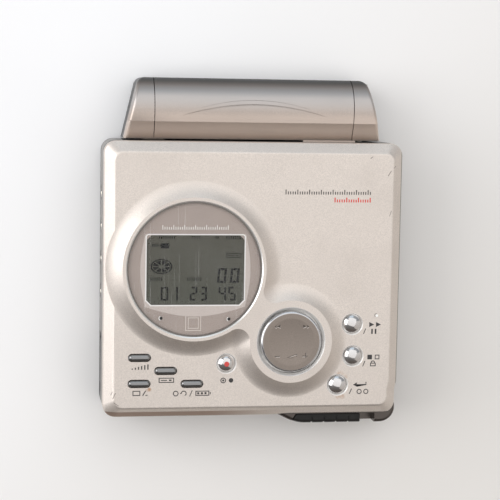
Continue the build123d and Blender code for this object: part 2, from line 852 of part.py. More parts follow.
def make_chassis_dampers():
    """The four rubber feet of the drive."""
    with BuildPart() as chassis_dampers:
        for x, y in damper_places:
            rod_z(x, y, cover_thickness, deck_level, damper_radius)
            rod_z(x, y, cover_thickness, deck_level + 1.0, screw_shank_radius, Mode.SUBTRACT)
    save(chassis_dampers.part, "chassis_dampers")


def make_chassis_screws():
    """The four screws through the rubber feet."""
    with BuildPart() as chassis_screws:
        for x, y in damper_places:
            rod_z(x, y, cover_thickness, deck_top + 0.1, screw_shank_radius)
            rod_z(x, y, deck_top, deck_top + screw_head_height, screw_head_radius)
    save(chassis_screws.part, "chassis_screws")


def make_guide_rods():
    """The two rods the optical head slides on."""
    with BuildPart() as guide_rods:
        for y in (front_rod_y, rear_rod_y):
            rod_x(rod_left, deck_right, y, rod_level, rod_radius)
    save(guide_rods.part, "guide_rods")


def make_spindle_motor():
    """The flat motor under the turntable, with its shaft."""
    with BuildPart() as spindle_motor:
        rod_z(0, spindle_y, board_top + 0.4, turntable_bottom - 0.4, spindle_motor_radius)
        fillet(spindle_motor.edges().sort_by(Axis.Z)[-1], 0.6)
        rod_z(0, spindle_y, board_top + 0.4, turntable_top - 0.2, shaft_radius)
    save(spindle_motor.part, "spindle_motor")


def make_turntable():
    """The turntable the disc sits on."""
    with BuildPart() as turntable:
        rod_z(0, spindle_y, turntable_bottom, turntable_top, turntable_radius)
        rod_z(0, spindle_y, turntable_bottom, turntable_top + 0.2, hub_radius)
        rod_z(
            0,
            spindle_y,
            turntable_bottom - 0.1,
            turntable_top - 0.15,
            shaft_radius + running_clearance,
            Mode.SUBTRACT,
        )
    save(turntable.part, "turntable")


def make_sled_motor():
    """The small motor that turns the screw through two gears."""
    with BuildPart() as sled_motor:
        rod_x(motor_right - sled_motor_length, motor_right, motor_y, screw_level, sled_motor_radius)
        rod_x(motor_right, gear_left, motor_y, screw_level, 0.3)
    save(sled_motor.part, "sled_motor")


def make_motor_pinion():
    """The pinion on the small motor."""
    with BuildPart() as motor_pinion:
        with BuildSketch(across(gear_left)):
            with Locations((motor_y, screw_level)):
                Circle(pinion_radius - 0.25)
            middle = Locations((motor_y, screw_level))
            with middle, PolarLocations(pinion_radius - 0.3, pinion_teeth, start_angle=half_tooth):
                Rectangle(0.45, 0.22)
        extrude(amount=gear_width)
    save(motor_pinion.part, "motor_pinion")


def make_screw_gear():
    """The gear on the left end of the screw."""
    with BuildPart() as screw_gear:
        with BuildSketch(across(gear_left)):
            with Locations((screw_y, screw_level)):
                Circle(screw_gear_radius - 0.25)
            middle = Locations((screw_y, screw_level))
            with middle, PolarLocations(screw_gear_radius - 0.3, screw_gear_teeth):
                Rectangle(0.45, 0.22)
            with Locations((screw_y, screw_level)):
                Circle(screw_radius, mode=Mode.SUBTRACT)
        extrude(amount=gear_width)
    save(screw_gear.part, "screw_gear")


def make_lead_screw():
    """The screw that drives the optical head."""
    with BuildPart() as lead_screw:
        rod_x(gear_left - 0.2, deck_right + 0.2, screw_y, screw_level, screw_radius)
    save(lead_screw.part, "lead_screw")


def make_pickup_sled():
    """The optical head's carriage with the leg behind the disc."""
    with BuildPart() as pickup_sled:
        block((sled_inner_x, sled_front, sled_bottom), (sled_inner_x + sled_width, sled_rear, sled_top))
        fillet(pickup_sled.edges().filter_by(Axis.Z), 0.8)
        block(
            (sled_x - leg_width / 2, sled_rear - 0.5, sled_bottom),
            (sled_x + leg_width / 2, leg_front + leg_thickness, sled_bottom + 0.8),
        )
        block(
            (sled_x - leg_width / 2, leg_front, sled_bottom),
            (sled_x + leg_width / 2, leg_front + leg_thickness, arm_pin_z - arm_knuckle_radius - 0.2),
        )
        for x0, x1 in [(-leg_width / 2, -leg_width / 2 + 0.6), (leg_width / 2 - 0.6, leg_width / 2)]:
            block(
                (sled_x + x0, leg_front, arm_pin_z - 2.0),
                (sled_x + x1, leg_front + leg_thickness, arm_pin_z + 0.4),
            )
        for y in (front_rod_y, rear_rod_y):
            rod_x(0, body_width, y, rod_level, rod_radius + running_clearance, Mode.SUBTRACT)
        rod_x(0, body_width, arm_pin_y, arm_pin_z, arm_pin_radius, Mode.SUBTRACT)
    save(pickup_sled.part, "pickup_sled")


def make_pickup_lens():
    """The lens in its ring on the carriage."""
    with BuildPart() as pickup_lens:
        rod_z(sled_x, spindle_y, sled_top, sled_top + 0.6, lens_radius + 0.9)
        rod_z(sled_x, spindle_y, sled_top + 0.3, sled_top + 0.7, lens_radius + 0.5, Mode.SUBTRACT)
        rod_z(sled_x, spindle_y, sled_top, sled_top + 0.5, lens_radius)
    save(pickup_lens.part, "pickup_lens")


def make_sled_nut():
    """The nut that ties the carriage to the screw."""
    with BuildPart() as sled_nut:
        block((sled_x - 2.5, screw_y - 1.6, sled_bottom - 0.1), (sled_x + 2.5, sled_front, sled_top))
        rod_x(0, body_width, screw_y, screw_level, screw_radius + running_clearance, Mode.SUBTRACT)
    save(sled_nut.part, "sled_nut")


def make_head_arm():
    """The leaf arm over the disc, which carries the recording head."""
    leaf = holder_roof + 0.1
    half_knuckle = leg_width / 2 - 0.8
    with BuildPart() as head_arm:
        rod_x(sled_x - half_knuckle, sled_x + half_knuckle, arm_pin_y, arm_pin_z, arm_knuckle_radius)
        block(
            (sled_x - arm_width / 2 + 0.4, arm_pin_y - 0.2, arm_pin_z),
            (sled_x + arm_width / 2 - 0.4, arm_pin_y + 0.3, leaf),
        )
        block(
            (sled_x - arm_width / 2, spindle_y - 2.0, leaf),
            (sled_x + arm_width / 2, arm_pin_y + 0.3, leaf + arm_sheet),
        )
        rod_x(0, body_width, arm_pin_y, arm_pin_z, arm_pin_radius + running_clearance, Mode.SUBTRACT)
    save(head_arm.part, "head_arm")


def make_arm_pin():
    """The pin of the head arm, fixed in the carriage's leg."""
    with BuildPart() as arm_pin:
        rod_x(sled_x - leg_width / 2, sled_x + leg_width / 2, arm_pin_y, arm_pin_z, arm_pin_radius)
    save(arm_pin.part, "arm_pin")


def make_head_tip():
    """The recording head under the end of the arm."""
    leaf = holder_roof + 0.1
    with BuildPart() as head_tip:
        block((sled_x - 1.2, spindle_y - 1.4, leaf - 0.1), (sled_x + 1.2, spindle_y + 1.4, leaf))
    save(head_tip.part, "head_tip")


# ================================================================ lid
def make_lid_shell():
    """The lid: bevelled top, raised rings, key holes, and the solid rear edge with the hinge pockets."""
    with BuildPart() as lid_shell:
        extrude(body_outline(lid_bottom), amount=bevel_start - lid_bottom)
        loft([body_outline(bevel_start), body_outline(lid_top, bevel, bevel_corner_radius)], ruled=True)
        fillet(lid_shell.faces().sort_by(Axis.Z)[-1].edges(), bevel_blend)
        brow = lid_shell.edges().filter_by(lambda e: e.bounding_box().size.Z < 0.01)
        fillet(brow.filter_by(lambda e: abs(e.bounding_box().min.Z - bevel_start) < 0.01), bevel_blend)
        extrude(ring_outline(bevel_start, mound_slope, mound_foot_blend), amount=bevel)
        loft([mound_outline(index / mound_steps) for index in range(mound_steps + 1)])
        cut_brow()
        round_rear_edge()
        hollow_lid()
        cut_display_opening()
        cut_rocker_opening()
        cut_key_openings()
        for x, y in lid_screw_places:
            rod_z(x, y, inner_cover_level + inner_cover_thickness, ceiling + 0.1, pillar_radius)
            rod_z(x, y, inner_cover_level, ceiling - 1.0, screw_shank_radius, Mode.SUBTRACT)
        for x in hook_places:
            block(
                (x - hook_width / 2, -inner_y - hook_thickness - 0.15, hook_bottom),
                (x + hook_width / 2, -inner_y - 0.15, lid_bottom + 0.5),
            )
    save(lid_shell.part, "lid_shell")


def mound_outline(rise):
    """The plan of the raised rings at a share of their height, spreading as it gets lower."""
    blend = mound_foot_blend + (mound_blend - mound_foot_blend) * rise
    return ring_outline(lid_top + mound_height * rise**mound_hollow, mound_slope * (1 - rise), blend)


def cut_brow():
    """Steps the front of the lid in over the lock, in the open builder."""
    left, front = half_width - brow_from_right, -half_depth
    full, back = left + brow_ramp, front + brow_step
    with BuildSketch(Plane.XY.offset(lid_bottom)) as step:
        with BuildLine():
            Spline((left, front), (full, back), tangents=((1, 0), (1, 0)))
            Polyline((full, back), (body_width, back), (body_width, front - 1.0), (left, front - 1.0))
            Line((left, front - 1.0), (left, front))
        make_face()
    extrude(step.sketch, amount=lid_height, mode=Mode.SUBTRACT)


def round_rear_edge():
    """Rounds the lower half of the lid's rear edge about the hinge line, in the open builder."""
    with BuildSketch(across(-half_width)) as below:
        with Locations((hinge_y, lid_bottom)):
            Rectangle(hinge_radius + 1.0, hinge_radius, align=(Align.MIN, Align.MIN))
        with Locations((hinge_y, hinge_z)):
            Circle(hinge_radius, mode=Mode.SUBTRACT)
    extrude(below.sketch, amount=body_width, mode=Mode.SUBTRACT)


def hollow_lid():
    """Cuts the lid's two-step inside and the pockets for the hinge ears, in the open builder."""
    rail = half_depth - hinge_rail
    lower = (lid_bottom - 1.0, bevel_start - 0.8, lid_side)
    upper = (lid_bottom, ceiling, bevel + 0.2)
    for level, top, inset in (lower, upper):
        with BuildSketch(Plane.XY.offset(level)) as room:
            add(body_outline(level, inset, bevel_corner_radius))
            with Locations((0, rail)):
                Rectangle(body_width, body_depth, align=(Align.CENTER, Align.MAX), mode=Mode.INTERSECT)
        extrude(room.sketch, amount=top - level, mode=Mode.SUBTRACT)
    for x0, x1 in both_sides(holder_inner_x - ear_gap, boss_inner_x):
        rod_x(x0, x1, hinge_y, hinge_z, ear_radius + 0.45, Mode.SUBTRACT)
        block(
            (x0, hinge_y - neck_front - 0.4, lid_bottom - 1.0),
            (x1, hinge_y + neck_front + 0.3, hinge_z),
            Mode.SUBTRACT,
        )
    for x0, x1 in both_sides(holder_inner_x, pin_outer_x + 0.1):
        rod_x(x0, x1, hinge_y, hinge_z, pin_radius + pin_clearance, Mode.SUBTRACT)


def cut_chamfer(x, y, top, radius, spread):
    """Widens the mouth of an upright round hole at 45 degrees, in the open builder."""
    with Locations((x, y, top - spread / 2)):
        Cone(radius, radius + spread, spread, mode=Mode.SUBTRACT)


def cut_display_opening():
    """Cuts the round recess for the window and the hole for the display below it."""
    rod_z(display_x, display_y, mask_bottom, mound_top + 1.0, trim_radius, Mode.SUBTRACT)
    cut_chamfer(display_x, display_y, mound_top, trim_radius, ring_chamfer)
    with BuildSketch(Plane.XY.offset(ceiling - 1.0)) as hole:
        with Locations((lcd_x, lcd_y)):
            Rectangle(lcd_frame_width + 0.2, lcd_frame_depth + 0.2)
        chamfer(hole.vertices(), lcd_frame_chamfer)
    extrude(hole.sketch, amount=mask_bottom - ceiling + 2.0, mode=Mode.SUBTRACT)


def cut_rocker_opening():
    """Cuts the well of the round pad and hangs the tube that carries its pivots."""
    rod_z(
        rocker_x,
        rocker_y,
        rocker_axis_z - carrier_height / 2,
        ceiling + 0.1,
        rocker_tube_radius + rocker_tube_wall,
    )
    well_radius = rocker_radius + rocker_clearance
    rod_z(rocker_x, rocker_y, rocker_floor, mound_top + 1.0, well_radius, Mode.SUBTRACT)
    cut_chamfer(rocker_x, rocker_y, mound_top, well_radius, rocker_well_chamfer)
    rod_z(rocker_x, rocker_y, lid_bottom, mound_top, rocker_tube_radius, Mode.SUBTRACT)
    reach = rocker_tube_radius + 0.8
    rod_x(
        rocker_x - reach,
        rocker_x + reach,
        rocker_y,
        rocker_axis_z,
        carrier_pin_radius + running_clearance,
        Mode.SUBTRACT,
    )
    for dx, dy in rocker_legs():
        rod_z(rocker_x + dx, rocker_y + dy, lid_bottom, mound_top, rocker_leg_hole, Mode.SUBTRACT)


def rocker_legs():
    """The four places of the legs under the round pad."""
    reach = rocker_leg_reach
    return [(reach, 0), (0, reach), (-reach, 0), (0, -reach)]


def cut_key_openings():
    """Cuts the holes of the round keys, with their countersinks, and those of the long keys."""
    for (x, y), radius in round_keys().values():
        rod_z(x, y, ceiling - 0.5, mound_top, radius + key_clearance, Mode.SUBTRACT)
        rod_z(x, y, lid_top, mound_top, radius + key_seat, Mode.SUBTRACT)
        cut_chamfer(x, y, lid_top, radius + key_clearance, key_seat - key_clearance)
    with BuildSketch(Plane.XY.offset(ceiling - 0.5)) as slots:
        with Locations(*slot_key_places.values()):
            SlotOverall(slot_key_length + 2 * key_clearance, slot_key_width + 2 * key_clearance)
    extrude(slots.sketch, amount=lid_wall + 1.0, mode=Mode.SUBTRACT)


def round_keys():
    """The place and the radius of every round key."""
    keys = {node: (place, round_key_radius) for node, place in round_key_places.items()}
    keys["record_button"] = (record_place, record_key_radius)
    return keys


def make_display_trim():
    """The dark ring in the gap round the window."""
    with BuildPart() as display_trim:
        rod_z(display_x, display_y, mask_bottom, mound_top - 0.45, trim_radius)
        rod_z(display_x, display_y, mask_bottom - 1.0, mound_top, window_radius, Mode.SUBTRACT)
    save(display_trim.part, "display_trim")


def make_display_window():
    """The clear round window, with a small bevel at its rim."""
    with BuildPart() as display_window:
        rod_z(display_x, display_y, window_bottom, window_top, window_radius)
        chamfer(display_window.edges().sort_by(Axis.Z)[-1], 0.25)
        for dx, dy in window_hole_places:
            rod_z(
                display_x + dx,
                display_y + dy,
                window_top - 0.5,
                mound_top,
                window_hole_radius,
                Mode.SUBTRACT,
            )
    save(display_window.part, "display_window")


def make_display_mask():
    """The coloured mask under the window, open over the display."""
    with BuildPart() as display_mask:
        rod_z(display_x, display_y, mask_bottom, window_bottom, window_radius)
        with BuildSketch(Plane.XY.offset(mask_bottom)) as view:
            with Locations((lcd_x, lcd_y)):
                Rectangle(lcd_view_width, lcd_view_depth)
            chamfer(view.vertices(), lcd_view_chamfer)
        extrude(view.sketch, amount=mask_thickness, mode=Mode.SUBTRACT)
    save(display_mask.part, "display_mask")


def make_lcd_panel():
    """The liquid crystal panel."""
    with BuildPart() as lcd_panel:
        with BuildSketch(Plane.XY.offset(lcd_bottom)) as glass:
            with Locations((lcd_x, lcd_y)):
                Rectangle(lcd_width, lcd_depth)
            chamfer(glass.vertices(), lcd_frame_chamfer - 1.2)
        extrude(amount=lcd_thickness)
    save(lcd_panel.part, "lcd_panel")


def make_lcd_frame():
    """The frame that holds the panel on the key board."""
    with BuildPart() as lcd_frame:
        with BuildSketch(Plane.XY.offset(key_board_top)) as outer:
            with Locations((lcd_x, lcd_y)):
                Rectangle(lcd_frame_width, lcd_frame_depth)
            chamfer(outer.vertices(), lcd_frame_chamfer)
        extrude(amount=lcd_bottom + 0.6 - key_board_top)
        with BuildSketch(Plane.XY.offset(lcd_bottom)) as seat:
            with Locations((lcd_x, lcd_y)):
                Rectangle(lcd_width, lcd_depth)
            chamfer(seat.vertices(), lcd_frame_chamfer - 1.2)
        extrude(amount=lcd_thickness, mode=Mode.SUBTRACT)
        with BuildSketch(Plane.XY.offset(key_board_top)) as room:
            with Locations((lcd_x, lcd_y)):
                Rectangle(lcd_view_width - 2.0, lcd_view_depth - 2.0)
        extrude(amount=lcd_bottom - key_board_top, mode=Mode.SUBTRACT)
    save(lcd_frame.part, "lcd_frame")


def make_key_board():
    """The circuit board in the lid, under the keys and the display."""
    with BuildPart() as key_board:
        block(
            (-half_width + lid_side + 0.6, -half_depth + lid_side + 0.6, key_board_level),
            (half_width - lid_side - 0.6, half_depth - hinge_rail - 0.6, key_board_top),
        )
        for x, y in lid_screw_places:
            reach = pillar_radius + 0.5
            block(
                (x - reach, y - reach, key_board_level),
                (x + reach, y + reach, key_board_top),
                Mode.SUBTRACT,
            )
        for x0, x1 in both_sides(half_width - 5.0, half_width):
            for y0, y1 in [(-half_depth, -half_depth + 6.0), (half_depth - hinge_rail - 4.0, half_depth)]:
                block((x0, y0, key_board_level), (x1, y1, key_board_top), Mode.SUBTRACT)
    save(key_board.part, "key_board")


def make_key_domes():
    """The metal domes on the board, one under each key and leg."""
    with BuildPart() as key_domes:
        places = [place for place, _ in round_keys().values()] + list(slot_key_places.values())
        places += [(rocker_x + dx, rocker_y + dy) for dx, dy in rocker_legs()]
        for x, y in places:
            with Locations((x, y, key_board_top)):
                Cone(1.5, 0.8, dome_top - key_board_top, align=(Align.CENTER, Align.CENTER, Align.MIN))
    save(key_domes.part, "key_domes")


def make_lid_inner_cover():
    """The thin plate that closes the lid from below, with posts under the key board."""
    with BuildPart() as lid_inner_cover:
        level = inner_cover_level
        with BuildSketch(Plane.XY.offset(level)) as plate:
            add(body_outline(level, lid_side + 0.1, bevel_corner_radius))
            with Locations((0, half_depth - hinge_rail - 0.1)):
                Rectangle(body_width, body_depth, align=(Align.CENTER, Align.MAX), mode=Mode.INTERSECT)
            with Locations(*lid_screw_places):
                Circle(screw_shank_radius + 0.1, mode=Mode.SUBTRACT)
        extrude(plate.sketch, amount=inner_cover_thickness)
        for x, y in spacer_places:
            rod_z(x, y, inner_cover_level + inner_cover_thickness, key_board_level, spacer_radius)
    save(lid_inner_cover.part, "lid_inner_cover")


def make_lid_screws():
    """The four screws that hold the lid's inner cover."""
    with BuildPart() as lid_screws:
        for x, y in lid_screw_places:
            rod_z(x, y, inner_cover_level - 0.25, inner_cover_level, screw_head_radius)
            rod_z(x, y, inner_cover_level - 0.25, ceiling - 1.2, screw_shank_radius)
    save(lid_screws.part, "lid_screws")


# ================================================================ keys
def make_round_key(node, place, radius):
    """One domed key with its flange and its foot over a metal dome."""
    x, y = place
    rise = key_rise + 0.1
    ball = (radius**2 + rise**2) / (2 * rise)
    half = atan2(radius, ball - rise) / 2
    with BuildPart() as key:
        with BuildSketch(upright(x, y)):
            with BuildLine():
                Line((0, key_foot), (1.0, key_foot))
                Line((1.0, key_foot), (1.0, flange_bottom))
                Line((1.0, flange_bottom), (radius + 0.6, flange_bottom))
                Line((radius + 0.6, flange_bottom), (radius + 0.6, flange_top))
                Line((radius + 0.6, flange_top), (radius, flange_top))
                Line((radius, flange_top), (radius, lid_top - 0.1))
                middle = (ball * sin(half), key_top - ball * (1 - cos(half)))
                ThreePointArc((radius, lid_top - 0.1), middle, (0, key_top))
                Line((0, key_top), (0, key_foot))
            make_face()
        revolve(axis=Axis((x, y, 0), (0, 0, 1)))
        if node == "record_button":
            rod_z(x, y, key_top - 0.4, key_top + 1.0, red_dot_radius, Mode.SUBTRACT)
    save(key.part, node)


def make_record_dot():
    """The red dot set in the record key."""
    x, y = record_place
    with BuildPart() as record_dot:
        rod_z(x, y, key_top - 0.4, key_top - 0.02, red_dot_radius)
    save(record_dot.part, "record_dot")


def make_slot_key(node, place):
    """One long rounded key with its flange and its foot over a metal dome."""
    with BuildPart() as key:
        flange = (flange_bottom, flange_top, 0.5)
        bar = (flange_top, lid_top + slot_key_rise, 0.0)
        for level, top, grow in (flange, bar):
            with BuildSketch(Plane.XY.offset(level)) as plan:
                with Locations(place):
                    SlotOverall(slot_key_length + 2 * grow, slot_key_width + 2 * grow)
            extrude(plan.sketch, amount=top - level)
        rim = key.edges().filter_by(lambda e: e.bounding_box().min.Z > lid_top + slot_key_rise - 0.01)
        fillet(rim, slot_key_edge)
        rod_z(place[0], place[1], key_foot, flange_bottom, 0.8)
    save(key.part, node)


def make_rocker_pad():
    """The round pad that tilts four ways, with its stem, legs and cross pin."""
    with BuildPart() as rocker_pad:
        rod_z(rocker_x, rocker_y, rocker_bottom, rocker_top, rocker_radius)
        fillet(rocker_pad.edges().sort_by(Axis.Z)[-1], rocker_edge)
        with Locations((rocker_x, rocker_y, rocker_top + rocker_dish_radius - rocker_dish)):
            Sphere(rocker_dish_radius, mode=Mode.SUBTRACT)
        rod_z(rocker_x, rocker_y, rocker_axis_z - 0.6, rocker_bottom, rocker_stem_radius)
        for dx, dy in rocker_legs():
            foot = dome_top + 0.1 + rocker_leg_reach * tan(radians(rocker_tilt)) * 1.3
            rod_z(rocker_x + dx, rocker_y + dy, foot, rocker_bottom, rocker_leg_radius)
        reach = carrier_outer - 0.2
        rod_y(rocker_x, rocker_y - reach, rocker_y + reach, rocker_axis_z, carrier_pin_radius)
    save(rocker_pad.part, "rocker_pad")


def make_rocker_carrier():
    """The ring between the pad and the lid, with one pair of pins and one pair of holes."""
    with BuildPart() as rocker_carrier:
        low, high = rocker_axis_z - carrier_height / 2, rocker_axis_z + carrier_height / 2
        rod_z(rocker_x, rocker_y, low, high, carrier_outer)
        reach = rocker_tube_radius + 0.7
        rod_x(rocker_x - reach, rocker_x + reach, rocker_y, rocker_axis_z, carrier_pin_radius)
        rod_z(rocker_x, rocker_y, low, high, carrier_inner, Mode.SUBTRACT)
        rod_y(
            rocker_x,
            rocker_y - rocker_tube_radius,
            rocker_y + rocker_tube_radius,
            rocker_axis_z,
            carrier_pin_radius + running_clearance,
            Mode.SUBTRACT,
        )
    save(rocker_carrier.part, "rocker_carrier")


# ================================================================ disc holder
def make_disc_holder():
    """The sheet metal tray that takes the cartridge from the front and rises with the lid."""
    rear = cartridge_rear + 0.2
    front = cartridge_front + 0.6
    with BuildPart() as disc_holder:
        block((-holder_outer_x, front, holder_roof), (holder_outer_x, rear, holder_top))
        block(
            (head_window_left, spindle_y - 6.0, holder_roof),
            (holder_inner_x - 1.5, rear + 1.0, holder_top),
            Mode.SUBTRACT,
        )
        for x0, x1 in both_sides(holder_inner_x, holder_outer_x):
            block((x0, front, holder_bottom), (x1, rear, holder_top))
            block((x0, hinge_y - neck_front, holder_roof - 1.5), (x1, hinge_y - neck_rear, hinge_z))
            rod_x(x0, x1, hinge_y, hinge_z, ear_radius)
        for x0, x1 in both_sides(holder_inner_x - holder_lip, holder_outer_x):
            block((x0, front, holder_bottom), (x1, rear, holder_floor))
        rod_x(-body_width, body_width, hinge_y, hinge_z, pin_radius + pin_clearance, Mode.SUBTRACT)
        for x in roof_ribs:
            block((x - 1.5, spindle_y - 18.0, holder_top), (x + 1.5, spindle_y + 6.0, holder_top + 0.15))
    save(disc_holder.part, "disc_holder")


# ================================================================ lid lock
def make_slider_knob():
    """The ribbed knob of the lid lock, with its stem through the front wall."""
    right = knob_left + knob_length
    with BuildPart() as slider_knob:
        with BuildSketch(Plane.XY.offset(knob_z0)) as plan:
            add(lock_outline(0.05))
            add(knob_plan(), mode=Mode.INTERSECT)
        extrude(plan.sketch, amount=lock_top - 0.05 - knob_z0)
        edges = slider_knob.edges().filter_by(lambda e: e.bounding_box().max.Y < -pocket_back - 1.0)
        fillet(edges.filter_by(lambda e: e.bounding_box().size.Z < 0.01), lock_blend)
        for index in range(rib_count):
            x = right - rib_from_right - index * rib_pitch
            block(
                (x - rib_width, -lock_front - 1.0, knob_z0 + 0.8),
                (x, -lock_front + rib_depth, lock_top + 1.0),
                Mode.SUBTRACT,
            )
            block(
                (x - rib_width, -lock_front - 1.0, lock_top - 0.05 - rib_depth),
                (x, -pocket_back - 0.9, lock_top),
                Mode.SUBTRACT,
            )
        stem_x = knob_left + knob_length / 2
        block(
            (stem_x - knob_stem / 2, -pocket_back - knob_gap - 0.5, knob_stem_level),
            (stem_x + knob_stem / 2, -latch_rear, knob_stem_level + knob_stem_height),
        )
    save(slider_knob.part, "slider_knob")


def make_latch_plate():
    """The thin plate behind the front wall, moved by the knob, with one lug for each lid hook."""
    with BuildPart() as latch_plate:
        left, right = hook_places[0] - 5.5, hook_places[1] + lug_outer + 0.2
        block((left, -latch_rear, latch_bottom), (right, -latch_rear + latch_sheet, latch_top))
        for x in hook_places:
            block(
                (x + lug_inner, -latch_rear - hook_thickness - 0.2, hook_bottom - 0.3),
                (x + lug_outer, -latch_rear, latch_top),
            )
    save(latch_plate.part, "latch_plate")


# ================================================================ battery case
def case_profile(inset):
    """The side profile of the battery case in Y and Z, shrunk by inset."""
    with BuildSketch(mode=Mode.PRIVATE) as profile:
        with BuildLine():
            Line((case_front, case_bottom), (case_front, case_face_top))
            Line((case_front, case_face_top), (case_kink_y, case_kink_top))
            TangentArc((cell_y, case_crown_top), (case_kink_y, case_kink_top), tangent=(-1, 0))
            TangentArc((cell_y, case_crown_top), (case_rear, case_flank_top), tangent=(1, 0))
            Line((case_rear, case_flank_top), (case_rear, case_bottom))
            Line((case_rear, case_bottom), (case_front, case_bottom))
        make_face()
        if inset:
            offset(amount=-inset)
    return profile.sketch


def case_plan(level):
    """The plan of the battery case: slanted ends and rounded rear corners."""
    with BuildSketch(Plane.XY.offset(level)) as plan:
        with BuildLine():
            Polyline(
                (-case_half_width, case_front),
                (case_half_width, case_front),
                (case_rear_half_width, case_rear),
                (-case_rear_half_width, case_rear),
                close=True,
            )
        make_face()
        fillet(plan.vertices().filter_by(lambda v: v.Y > case_rear - 0.1), case_corner_radius)
    return plan.sketch


def case_block(x0, x1, inset=0.0):
    """Extrudes the case's profile from x0 to x1, in the open builder."""
    with BuildSketch(across(x0)) as section:
        add(case_profile(inset))
    extrude(section.sketch, amount=x1 - x0)


def make_case_body():
    """The fixed part of the battery case: ends, front wall and floor."""
    with BuildPart() as case_body:
        case_block(-case_half_width, case_half_width)
        extrude(case_plan(0), amount=lid_top, mode=Mode.INTERSECT)
        cap = case_body.edges().filter_by(lambda e: abs(e.center().X) > case_rear_half_width - 3.0)
        fillet(cap.filter_by(lambda e: e.center().Z > case_flank_top), case_edge)
        block(
            (-case_cover_half, case_front + case_wall, case_bottom + case_wall),
            (case_cover_half, case_rear + 1.0, lid_top),
            Mode.SUBTRACT,
        )
        block(
            (-case_cover_half, case_front - 1.0, case_cover_front),
            (case_cover_half, case_rear, lid_top),
            Mode.SUBTRACT,
        )
        block(
            (-case_cover_half, cover_pin_y - cover_barrel_radius - 0.6, case_bottom + 0.7),
            (case_cover_half, case_rear + 1.0, lid_top),
            Mode.SUBTRACT,
        )
        rod_x(
            -case_cover_half - 1.5,
            case_cover_half + 1.5,
            cover_pin_y,
            cover_pin_level,
            cover_pin_radius,
            Mode.SUBTRACT,
        )
        rod_y(
            case_screw_x,
            case_front - 1.0,
            case_rear + 1.0,
            case_screw_level,
            case_screw_radius,
            Mode.SUBTRACT,
        )
        rod_y(
            case_screw_x,
            case_rear - 2.5,
            case_rear + 1.0,
            case_screw_level,
            case_screw_head_radius + 0.2,
            Mode.SUBTRACT,
        )
    save(case_body.part, "case_body")


def make_case_cover():
    """The hinged middle of the battery case, with the curved thumb groove."""
    half = case_cover_half - case_seam
    with BuildPart() as case_cover:
        case_block(-half, half)
        with BuildSketch(across(-body_width)) as room:
            add(case_profile(case_wall))
            with Locations((cell_y, cell_z)):
                Circle(cell_radius + 2 * cell_clearance)
        extrude(room.sketch, amount=2 * body_width, mode=Mode.SUBTRACT)
        block(
            (-body_width, 0, 0), (body_width, case_front + 3.0, case_cover_front + case_seam), Mode.SUBTRACT
        )
        block(
            (-body_width, case_front - 1.0, 0),
            (body_width, case_rear + 1.0, cover_pin_level),
            Mode.SUBTRACT,
        )
        block(
            (-body_width, case_front - 1.0, 0), (body_width, cell_y, case_cover_front - 3.0), Mode.SUBTRACT
        )
        rod_x(-half, half, cover_pin_y, cover_pin_level, cover_barrel_radius)
        rod_x(
            -half - 1.0,
            half + 1.0,
            cover_pin_y,
            cover_pin_level,
            cover_pin_radius + running_clearance,
            Mode.SUBTRACT,
        )
        groove_top, tip = grip_y + grip_rise + grip_width, grip_half * scoop_share
        cut_crescent((grip_half, grip_y), grip_y + grip_rise, groove_top, grip_depth)
        tip_y = grip_y + grip_rise * (1 - scoop_share**2) + 2 * grip_width
        cut_crescent((tip, tip_y), groove_top + grip_width, groove_top + scoop_width, scoop_depth)
    save(case_cover.part, "case_cover")


def cut_crescent(tip, low, high, depth):
    """Cuts a crescent that tapers to both tips into the skin of the case, in the open builder."""
    tip_x, tip_y = tip
    with BuildSketch(Plane.XY.offset(case_kink_top - 3.0), mode=Mode.PRIVATE) as crescent:
        with BuildLine():
            ThreePointArc((-tip_x, tip_y), (0, low), (tip_x, tip_y))
            ThreePointArc((tip_x, tip_y), (0, high), (-tip_x, tip_y))
        make_face()
    with BuildSketch(across(-body_width), mode=Mode.PRIVATE) as skin:
        add(case_profile(0))
        add(case_profile(depth), mode=Mode.SUBTRACT)
    crescent_solid = extrude(crescent.sketch, amount=5.0, mode=Mode.PRIVATE)
    skin_solid = extrude(skin.sketch, amount=2 * body_width, mode=Mode.PRIVATE)
    add(crescent_solid & skin_solid, mode=Mode.SUBTRACT)


def make_cover_pin():
    """The long pin the case's cover turns on."""
    with BuildPart() as cover_pin:
        rod_x(-case_cover_half - 1.5, case_cover_half + 1.5, cover_pin_y, cover_pin_level, cover_pin_radius)
    save(cover_pin.part, "cover_pin")


def make_aa_cell():
    """The round cell in the battery case."""
    shoulder = cell_length / 2 - cell_nub_length
    with BuildPart() as aa_cell:
        rod_x(-cell_length / 2, shoulder, cell_y, cell_z, cell_radius)
        fillet(aa_cell.edges(), 0.6)
        rod_x(shoulder - 0.1, cell_length / 2, cell_y, cell_z, cell_nub_radius)
    save(aa_cell.part, "aa_cell")


def make_cell_contacts():
    """The contact plates at both ends of the round cell, and the spring wire at its flat end."""
    with BuildPart() as cell_contacts:
        block(
            (case_cover_half - 0.5, cell_y - 3.5, cell_z - 5.0),
            (case_cover_half, cell_y + 3.5, cell_z + 4.0),
        )
        rod_x(cell_length / 2, case_cover_half - 0.4, cell_y, cell_z, 2.0)
        block(
            (-case_cover_half, cell_y - 3.5, cell_z - 5.0),
            (-case_cover_half + 0.5, cell_y + 3.5, cell_z + 4.0),
        )
        x0, x1 = -case_cover_half + 0.5, -cell_length / 2
        for x, radius in [(x0 + 0.2, 3.0), ((x0 + x1) / 2, 2.6), (x1 - 0.25, 2.2)]:
            with Locations(Location((x, cell_y, cell_z), (0, 90, 0))):
                Torus(radius, 0.25)
        block((x0 - 0.1, cell_y + 2.0, cell_z - 0.25), (x1 - 0.1, cell_y + 2.9, cell_z + 0.25))
    save(cell_contacts.part, "cell_contacts")


